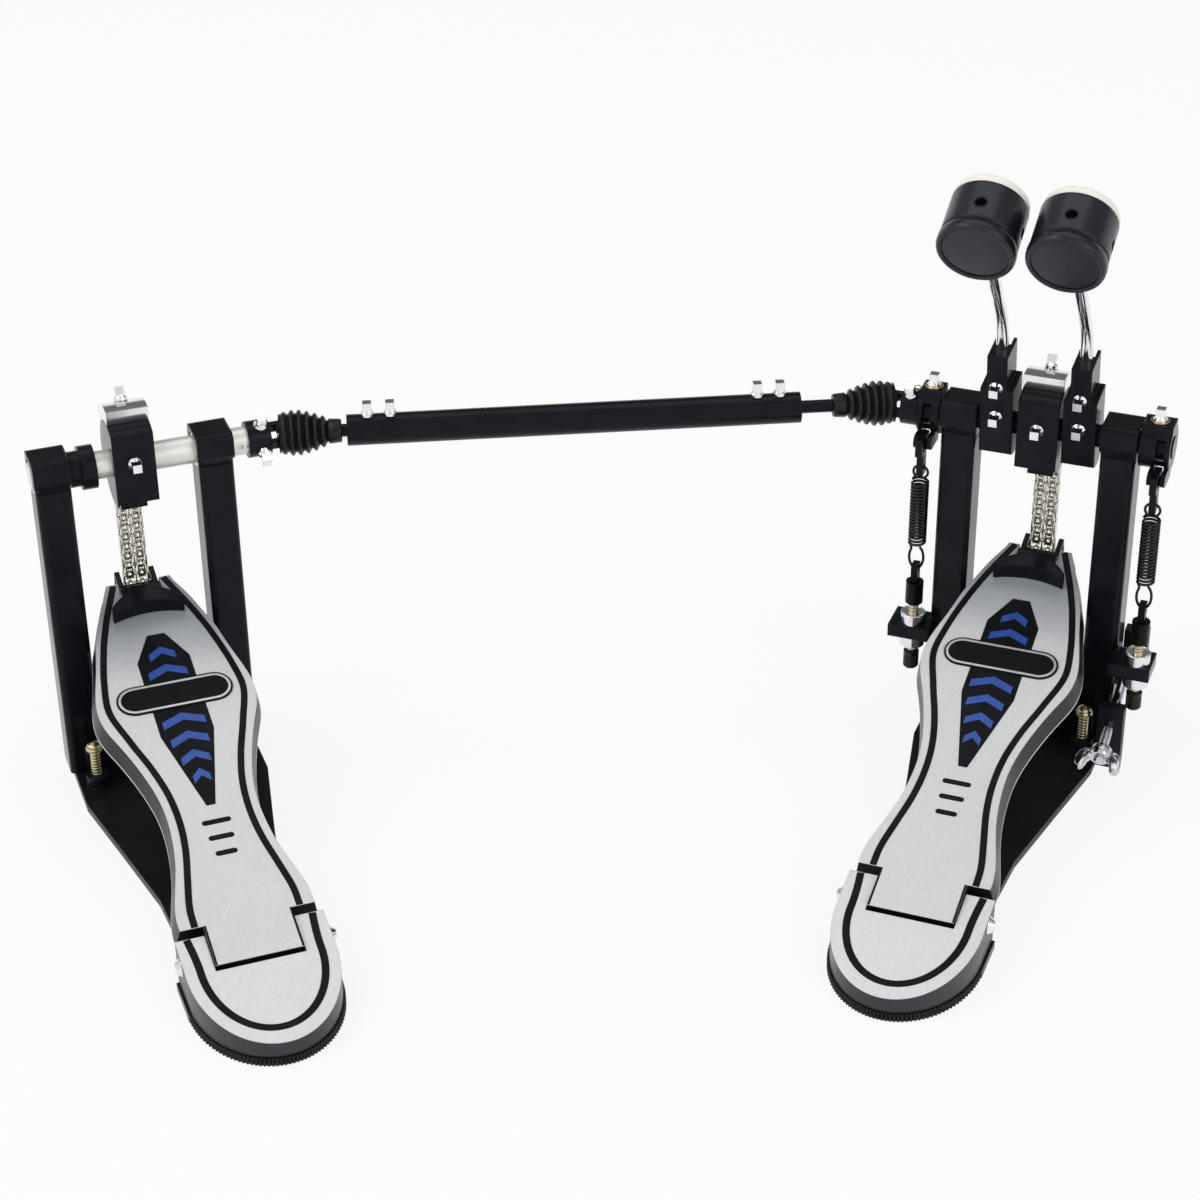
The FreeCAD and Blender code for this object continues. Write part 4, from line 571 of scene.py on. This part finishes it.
for pedal, pedalPlace in pedalPlaces.items():
    top = pedalPlace @ boardTilt @ Matrix.Translation((0, 0, layout["boardTop"]))
    thick = boardPrint["thick"]
    body = pedal + "_board"
    parts = []
    for sign in (-1, 1):
        parts.append(layStrip(edgeStripe(sign), thick))
        edge, line = sign * boardPrint["tongueHalf"], boardPrint["tongueLine"]
        parts.append(layStrip([(edge, at, line) for at in boardPrint["tongueRun"]], thick))
    right = [(half, at) for at, half in boardPrint["panel"]]
    parts.append(layPlate(right + mirrored(right), thick))
    for at, half in boardPrint["crossBars"]:
        parts.append(layPlate(roundBar(half, boardPrint["crossHalf"], at), thick))
    printed = settle(joinAll(parts), pedal + "BoardPrint", inkBlack, top)
    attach(printed, body)
    blueThick = boardPrint["chevronThick"]
    blue = joinAll([layPlate(chevron(*spot), blueThick) for spot in boardPrint["chevrons"]])
    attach(settle(blue, pedal + "BoardChevrons", inkBlue, top), body)
    half, radius, at = (boardPrint[size] for size in ("plateHalf", "plateRound", "plateAt"))
    blank = layPlate(roundBar(half, radius, at), boardPrint["plateThick"])
    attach(settle(blank, pedal + "BlankPlate", inkBlack, top), body)
    edge = roundBar(half - boardPrint["rimIn"], radius - boardPrint["rimIn"], at)
    rimLine = [(x, y, boardPrint["rimHalf"]) for x, y in edge + edge[:1]]
    rim = layStrip(rimLine, boardPrint["rimThick"])
    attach(settle(rim, pedal + "PlateRim", silverInk, top), body)
print("board print laid")

# heel stripe following the rounded rear, drawn from above and stretched onto the sloped plate
heelPrint = {"half": 32.0, "long": 43.8, "centre": 249.5, "front": 225.6, "frontHalf": 33.8,
             "stripeHalf": 2.0, "thick": 0.25, "sideSteps": 12, "rearSteps": 60}


def heelLine():
    half, centre, steps = heelPrint["half"], heelPrint["centre"], heelPrint["sideSteps"]
    run = []
    for i in range(steps):
        share = i / steps
        swell = math.sin(share * math.pi / 2)
        run.append((heelPrint["frontHalf"] + (half - heelPrint["frontHalf"]) * swell,
                    heelPrint["front"] + (centre - heelPrint["front"]) * share))
    rear = []
    for i in range(heelPrint["rearSteps"] + 1):
        a = math.pi * i / heelPrint["rearSteps"]
        rear.append((half * math.cos(a), centre + heelPrint["long"] * math.sin(a)))
    return run + rear + mirrored(run)


heelRear = -layout["heelSpot"][1] / mm
heelStretch = math.cos(math.radians(layout["heelSlope"]))
for pedal, pedalPlace in pedalPlaces.items():
    strip = [(x, (heelRear - y) / heelStretch, heelPrint["stripeHalf"]) for x, y in heelLine()]
    stripe = layStrip(strip, heelPrint["thick"])
    stripe = settle(stripe, pedal + "HeelStripe", inkBlack, pedalPlace @ heelTilt)
    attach(stripe, baseBodies[pedal])
print("heel stripes laid")


# a turned piece lies along its beater's head
def onHead(side):
    return Matrix.Translation((beaterX[side], 0, 0)) @ headTilt @ turned(-90, "X")


# felt faces on the beaters: distance in from each end and share of the radius
feltSizes = {"radius": 20.4, "from": 14.6, "to": 21.5, "rear": [(0, 0.97), (0.8, 1)],
             "front": [(2.8, 1), (1.6, 0.975), (0.8, 0.9), (0.3, 0.75), (0.1, 0.5), (0, 0.25)]}
for side in beaterX:
    radius = feltSizes["radius"]
    profile = [(feltSizes["from"] + at, radius * share) for at, share in feltSizes["rear"]]
    profile += [(feltSizes["to"] - at, radius * share) for at, share in feltSizes["front"]]
    felt = settle(turnPiece(profile, steps=64), side + "FeltFace", feltCream, onHead(side))
    smooth(felt, angle=50)
    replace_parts(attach(felt, side + "_beater"), side + "_beater_felt")
print("felts made")

# return springs wound from one wire, with a hooked loop at each end
springSizes = {"low": 117, "radius": 4.7, "pitch": 2.16, "turns": 20, "perTurn": 16, "wire": 0.8,
               "loopLow": 100.8, "loopHigh": 168.8, "loopHalf": 4.3, "loopSteps": 18,
               "lowGap": 1, "highGap": 0.6, "lowLoop": (2.75, -2.4), "highLoop": (0.75, 5.85),
               "stillBelow": 108, "movesAbove": 166}


def springLine():
    low, radius, pitch = springSizes["low"], springSizes["radius"], springSizes["pitch"]
    turns, perTurn = springSizes["turns"], springSizes["perTurn"]
    half, steps = springSizes["loopHalf"], springSizes["loopSteps"]
    spots = []
    tall = (low - springSizes["lowGap"] - springSizes["loopLow"]) / 2
    start, end = springSizes["lowLoop"]
    for i in range(steps + 1):
        a = start + (end - start) * i / steps
        spots.append((half * math.sin(a), 0, springSizes["loopLow"] + tall * (1 - math.cos(a))))
    for i in range(perTurn // 2, perTurn * turns - perTurn // 2 + 1):
        a = 2 * math.pi * i / perTurn
        spots.append((radius * math.cos(a), radius * math.sin(a), low + pitch * i / perTurn))
    tall = (springSizes["loopHigh"] - low - pitch * turns - springSizes["highGap"]) / 2
    start, end = springSizes["highLoop"]
    for i in range(steps + 1):
        a = start + (end - start) * i / steps
        spots.append((-half * math.sin(a), 0, springSizes["loopHigh"] - tall * (1 + math.cos(a))))
    return spots


for side, x in springX.items():
    spots = springLine()
    back = -layout["springBack"]
    clearPick()
    bpy.ops.curve.primitive_nurbs_path_add()
    wire = bpy.context.object
    spline = wire.data.splines[0]
    spline.points.add(len(spots) - len(spline.points))
    for spot, (px, py, pz) in zip(spline.points, spots):
        spot.co = (px * mm, py * mm, pz * mm, 1)
    spline.order_u = 3
    spline.use_endpoint_u = True
    spline.resolution_u = 2
    wire.data.bevel_depth = springSizes["wire"] * mm
    wire.data.bevel_resolution = 3
    wire.data.use_fill_caps = True
    bpy.ops.object.convert(target="MESH")
    place = Matrix.Translation((x, back, 0))
    wire = settle(bpy.context.object, side + "SpringWire", springWire, place)
    smooth(wire, angle=60)
    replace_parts(wire, side + "_return_spring")
    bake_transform(wire)
print("springs wound")

# rubber boots over the shaft joints: a rim, ribs on a swelling body, and a plain neck
bootSizes = {"behind": 2.5, "ahead": 33, "wall": 0.5, "rim": (10.75, 11.6),
             "ribs": 6, "perRib": 8, "ribbed": 0.74, "bodyFrom": 0.6,
             "body": [(0, 11.7), (0.34, 13.2), (0.68, 11.4), (1, 8.2)],
             "groove": 2.2, "narrow": 1.4, "firstGroove": 0.4, "fullGrooveAt": 0.25,
             "neckFrom": (1.6, 7.2), "neck": [(1.6, 6.8), (0.5, 6.7), (0, 6.2), (0, 3.85)]}


def bootLine():
    rear, ahead = -bootSizes["behind"], bootSizes["ahead"]
    ribbed = ahead * bootSizes["ribbed"]
    profile = [(rear, radius) for radius in bootSizes["rim"]]
    steps = bootSizes["ribs"] * bootSizes["perRib"]
    for i in range(steps + 1):
        share = i / steps
        dip = (0.5 + 0.5 * math.cos(2 * math.pi * bootSizes["ribs"] * share)) ** bootSizes["narrow"]
        shallow = bootSizes["firstGroove"]
        dip *= shallow + (1 - shallow) * min(1, share / bootSizes["fullGrooveAt"])
        profile.append((rear + bootSizes["bodyFrom"] + (ribbed - rear) * share,
                        between(bootSizes["body"], share) - bootSizes["groove"] * dip))
    at, radius = bootSizes["neckFrom"]
    profile.append((ribbed + at, radius))
    return profile + [(ahead - at, radius) for at, radius in bootSizes["neck"]]


for end, spot in jointSpots.items():
    boot = turnPiece(bootLine(), steps=48, closeEnds=False)
    way = shaftWay if end == "slave" else -shaftWay
    turn = way.to_track_quat("Z", "Y").to_matrix().to_4x4()
    thicken(boot, bootSizes["wall"], side=-1)
    boot = settle(boot, end + "JointBoot", rubberBlack, Matrix.Translation(spot) @ turn)
    smooth(boot, angle=60)
    body = "slave_rod" if end == "slave" else "drive_shaft"
    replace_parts(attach(boot, body), end + "_joint_boot")
print("boots made")

# ribbed heel pads
padSizes = {"half": 41.4, "long": 55.1, "centre": 249.5, "front": 225.05, "tall": 4.95,
            "groove": 1.0, "ribs": 60}


def padOutline():
    half, long, front = padSizes["half"], padSizes["long"], -padSizes["front"]
    count = padSizes["ribs"] * 2
    outline = [(half, front)]
    for i in range(count):
        a = math.pi * i / (count - 1)
        # the outermost ribs stay plain
        inset = padSizes["groove"] if i % 2 and 2 < i < count - 3 else 0
        y = -padSizes["centre"] - (long - inset) * math.sin(a)
        outline.append(((half - inset) * math.cos(a), y))
    return outline + [(-half, front)]


for pedal, pedalPlace in pedalPlaces.items():
    pad = layPlate(padOutline(), padSizes["tall"])
    pad = settle(pad, pedal + "HeelPad", rubberBlack, pedalPlace)
    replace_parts(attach(pad, baseBodies[pedal]), pedal + "_heel_pad")
print("heel pads made")

# knurled tension nuts: every other flat is drawn out as a tooth, and both ends are sunk a little
nutSizes = {"radius": 7.0, "tall": 6.6, "teeth": 26, "tooth": 0.35, "inset": 1.2, "sunk": 0.4,
            "lows": (49.7, 64.5)}
clearPick()
tall = nutSizes["tall"] * mm
bpy.ops.mesh.primitive_cylinder_add(vertices=nutSizes["teeth"] * 2, radius=nutSizes["radius"] * mm,
                                    depth=tall, location=(0, 0, tall / 2))
nut = bpy.context.object
bpy.ops.object.transform_apply(location=True)
bpy.ops.object.mode_set(mode="EDIT")
bpy.ops.mesh.select_all(action="DESELECT")
bpy.ops.object.mode_set(mode="OBJECT")
flats = [f for f in nut.data.polygons if abs(f.normal.z) < 0.5]  # faces round the side
flats.sort(key=lambda f: math.atan2(f.center.y, f.center.x))
for f in flats[::2]:
    f.select = True
bpy.ops.object.mode_set(mode="EDIT")
bpy.ops.mesh.select_mode(type="FACE")
bpy.ops.mesh.extrude_faces_move(TRANSFORM_OT_shrink_fatten={"value": nutSizes["tooth"] * mm})
bpy.ops.mesh.select_all(action="DESELECT")
bpy.ops.object.mode_set(mode="OBJECT")
for f in nut.data.polygons:
    f.select = abs(f.normal.z) > 0.9 and len(f.vertices) > 8  # the two many-sided ends
bpy.ops.object.mode_set(mode="EDIT")
bpy.ops.mesh.inset(thickness=nutSizes["inset"] * mm, depth=-nutSizes["sunk"] * mm)
bpy.ops.object.mode_set(mode="OBJECT")
nuts = []
for x in springX.values():
    for low in nutSizes["lows"]:
        nuts.append(copyOf(nut, Matrix.Translation((x, -layout["springBack"], low * mm))))
bpy.data.objects.remove(nut)
nuts = settle(joinAll(nuts), "tensionNutRings", chromePlate)
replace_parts(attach(nuts, "frame"), "tension_nuts")

# rubber caps on the tension bolts' lower ends, with shallow grooves
capSizes = {"radius": 4.6, "low": 33, "high": 45, "bore": 3.1, "grooves": 5, "plain": 2,
            "tip": [(0, 0.5), (0.4, 0.8), (1.5, 1)], "rim": [(0.6, 1), (0, 0.85)],
            "groove": [(0, 1), (0.4, 0.93), (1.0, 0.93), (1.4, 1)]}
radius, low, high = capSizes["radius"], capSizes["low"], capSizes["high"]
profile = [(low + up, radius * share) for up, share in capSizes["tip"]]
for i in range(capSizes["grooves"]):
    at = low + capSizes["plain"] + (high - low - 2 * capSizes["plain"]) * i / capSizes["grooves"]
    profile += [(at + up, radius * share) for up, share in capSizes["groove"]]
profile += [(high - down, radius * share) for down, share in capSizes["rim"]]
cap = turnPiece(profile + [(high, capSizes["bore"])], steps=32)
caps = [copyOf(cap, Matrix.Translation((x, -layout["springBack"], 0))) for x in springX.values()]
bpy.data.objects.remove(cap)
caps = settle(joinAll(caps), "tensionEndCaps", rubberBlack)
smooth(caps, angle=40)
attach(caps, "frame")
print("nuts and caps made")

# brass washers under the rockers' key bolts
washerSizes = {"ring": [(0, 5.1), (0.2, 5.3), (0.8, 5.3), (1, 5.1), (1, 4.25), (0.9, 4.15),
                        (0, 4.15)],
               "up": 212, "right": 66.1, "left": -63.9}
for side, body in (("right", "primary_shaft"), ("left", "sleeve")):
    place = Matrix.Translation((washerSizes[side] * mm, 0, washerSizes["up"] * mm))
    washer = turnPiece(washerSizes["ring"], steps=40, closeEnds=False)
    washer = settle(washer, side + "RockerWasher", brassRing, place)
    smooth(washer, angle=40)
    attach(washer, body)
print("washers made")

# hoop clamp screw with a winged knob
screwSizes = {
    "spot": (59.8, -47, 25.6), "slope": 15.7, "thick": 5, "round": 1.3,
    "turned": [(-15, 2.4), (-14.6, 3), (-13.2, 3), (-13.2, 5.4), (-12.4, 6.1), (-8, 6.5),
               (-6.4, 6.1), (-5.6, 4.6), (-5.6, 3), (77.4, 3), (78, 2.4)],
    "wing": [(0, -7.4), (5, -7.2), (9, -8.4), (11.8, -11), (13.2, -15), (13.3, -19), (12.2, -22),
             (10.2, -23), (8, -22), (6.9, -19), (6.2, -16), (4.6, -13.6), (0, -12.6)],
}
bar = turnPiece(screwSizes["turned"], steps=40)
bar.matrix_world = turned(-90, "X") @ bar.matrix_world
wings = layPlate(screwSizes["wing"] + mirrored(screwSizes["wing"][1:-1]), screwSizes["thick"])
mod = wings.modifiers.new("softEdges", "BEVEL")
mod.width = screwSizes["round"] * mm
mod.segments = 3
applyAll(wings)
wings.matrix_world = Matrix.Translation((0, 0, -screwSizes["thick"] * mm / 2))
screwPlace = Matrix.Translation(Vector(screwSizes["spot"]) * mm) @ turned(screwSizes["slope"], "X")
screw = settle(joinAll([bar, wings]), "clampWingScrew", knobChrome, screwPlace)
smooth(screw, angle=40)
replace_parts(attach(screw, "clamp_screw"), "hoop_clamp_screw")
print("clamp screw made")

# rounded lips round the beaters' rear faces
lipSizes = {"ring": [(-11.4, 20.7), (-11.4, 21.1), (-11.9, 21.4), (-14, 21.5), (-16, 21.4),
                     (-17.2, 21.0), (-18.0, 20.3), (-18.3, 19.4), (-18.2, 18.6), (-17.6, 18.0),
                     (-16.8, 18.4), (-11.4, 20.7)]}
for side in beaterX:
    lip = turnPiece(lipSizes["ring"], steps=72, closeEnds=False)
    lip = settle(lip, side + "BeaterLip", beaterBlack, onHead(side))
    smooth(lip, angle=70)
    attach(lip, side + "_beater")
print("beater lips made")

# barrel rollers on the chains' pins
rollerSizes = {"radius": 2.75, "half": 1.32, "across": 3.525, "out": 28.046, "low": 101.75,
               "pitch": 6.35, "count": 14,
               "barrel": [(-1, 0.72), (-0.9, 0.87), (-0.6, 0.97), (-0.2, 1), (0.2, 1), (0.6, 0.97),
                          (0.9, 0.87), (1, 0.72)]}
half, radius = rollerSizes["half"], rollerSizes["radius"]
roller = turnPiece([(half * at, radius * share) for at, share in rollerSizes["barrel"]], steps=24)
smooth(roller, angle=40)
roller.matrix_world = turned(90, "Y") @ roller.matrix_world
for pedal, pedalPlace in pedalPlaces.items():
    beads = []
    for i in range(rollerSizes["count"]):
        up = (rollerSizes["low"] + rollerSizes["pitch"] * i) * mm
        for sign in (-1, 1):
            x = sign * rollerSizes["across"] * mm
            beads.append(copyOf(roller, Matrix.Translation((x, rollerSizes["out"] * mm, up))))
    beads = settle(joinAll(beads), pedal + "ChainRollers", rollerNickel, pedalPlace)
    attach(beads, pedal + "_drop")
bpy.data.objects.remove(roller)
print("chain rollers made")

# the floor shows nearly white to the eye and in reflections, and keeps a soft shadow
floorLook = {"size": 12, "spot": (-0.2, 0, 0), "colour": (0.90, 0.90, 0.90), "rough": 0.8,
             "gloss": 0.2, "glow": 0.86}
clearPick()
bpy.ops.mesh.primitive_plane_add(size=floorLook["size"], location=floorLook["spot"])
floor = bpy.context.object
floor.name = "studioFloor"
finish, tree, shader = makeFinish("paleFloor", floorLook["colour"], floorLook["rough"],
                                  gloss=floorLook["gloss"])
floor.data.materials.append(finish)
paths = tree.nodes.new("ShaderNodeLightPath")
seen = calc(tree, "MAXIMUM", paths.outputs["Is Camera Ray"], paths.outputs["Is Glossy Ray"])
seen = calc(tree, "MAXIMUM", seen, paths.outputs["Is Transmission Ray"])
glow = tree.nodes.new("ShaderNodeEmission")
blend = tree.nodes.new("ShaderNodeMixShader")
tree.links.new(calc(tree, "MULTIPLY", seen, floorLook["glow"]), blend.inputs["Fac"])
tree.links.new(shader.outputs[0], blend.inputs[1])
tree.links.new(glow.outputs[0], blend.inputs[2])
tree.links.new(blend.outputs[0], tree.nodes["Material Output"].inputs["Surface"])

# the world is as pale as the floor near the horizon, and overhead it darkens from front to back
skyLook = {"pale": (0.937, 0.937, 0.937), "overhead": (0.12, 0.30), "frontToBack": (-0.5, 0.75),
           "shades": [(0.0, 0.80), (0.55, 0.62), (1.0, 0.16)], "strength": 1.0}
world = bpy.data.worlds.new("studio")
bpy.context.scene.world = world
world.use_nodes = True
sky = world.node_tree
background = sky.nodes["Background"]
background.inputs["Strength"].default_value = skyLook["strength"]
skyWay = sky.nodes.new("ShaderNodeTexCoord")
skySplit = sky.nodes.new("ShaderNodeSeparateXYZ")
sky.links.new(skyWay.outputs["Generated"], skySplit.inputs["Vector"])
skyShade = ramp(sky, stepAt(sky, skySplit.outputs["Y"], *skyLook["frontToBack"]), skyLook["shades"])
overhead = stepAt(sky, skySplit.outputs["Z"], *skyLook["overhead"])
sky.links.new(mixColour(sky, overhead, skyLook["pale"], skyShade), background.inputs["Color"])

# soft panels: place, what they face, width and height, power
panels = {
    "keyPanel": ((-1.4, -0.9, 1.9), (-0.2, -0.1, 0.1), (1.4, 1.4), 12),
    "fillPanel": ((1.6, -1.0, 1.3), (-0.1, -0.1, 0.1), (1.2, 1.4), 7),
    "topPanel": ((-0.2, 0.5, 2.0), (-0.2, -0.1, 0.1), (1.8, 1.0), 5),
}
for name, (spot, aim, size, power) in panels.items():
    bpy.ops.object.light_add(type="AREA", location=spot)
    lamp = bpy.context.object
    lamp.name = name
    lamp.data.shape = "RECTANGLE"
    lamp.data.size, lamp.data.size_y = size
    lamp.data.energy = power
    lamp.rotation_euler = (Vector(aim) - Vector(spot)).to_track_quat("-Z", "Y").to_euler()

# camera at the photograph's viewing angle
view = {"spot": (0.2873, -1.4228, 0.9351), "turn": 21.42, "down": 30.7, "roll": 0.73,
        "lens": 84.894, "sensor": 36}
turn, down, roll = (math.radians(view[angle]) for angle in ("turn", "down", "roll"))
ahead = Vector((-math.sin(turn) * math.cos(down), math.cos(turn) * math.cos(down), -math.sin(down)))
level = Vector((math.cos(turn), math.sin(turn), 0))
above = level.cross(ahead)
across = level * math.cos(roll) - above * math.sin(roll)
upward = above * math.cos(roll) + level * math.sin(roll)
camera = bpy.data.objects.new("photoCamera", bpy.data.cameras.new("photoCamera"))
bpy.context.collection.objects.link(camera)
facing = Matrix((across, upward, -ahead)).transposed().to_4x4()
camera.matrix_world = Matrix.Translation(view["spot"]) @ facing
camera.data.lens = view["lens"]
camera.data.sensor_width = view["sensor"]
camera.data.sensor_fit = "HORIZONTAL"
bpy.context.scene.camera = camera
bpy.context.scene.view_settings.view_transform = "Standard"
print("stage set")
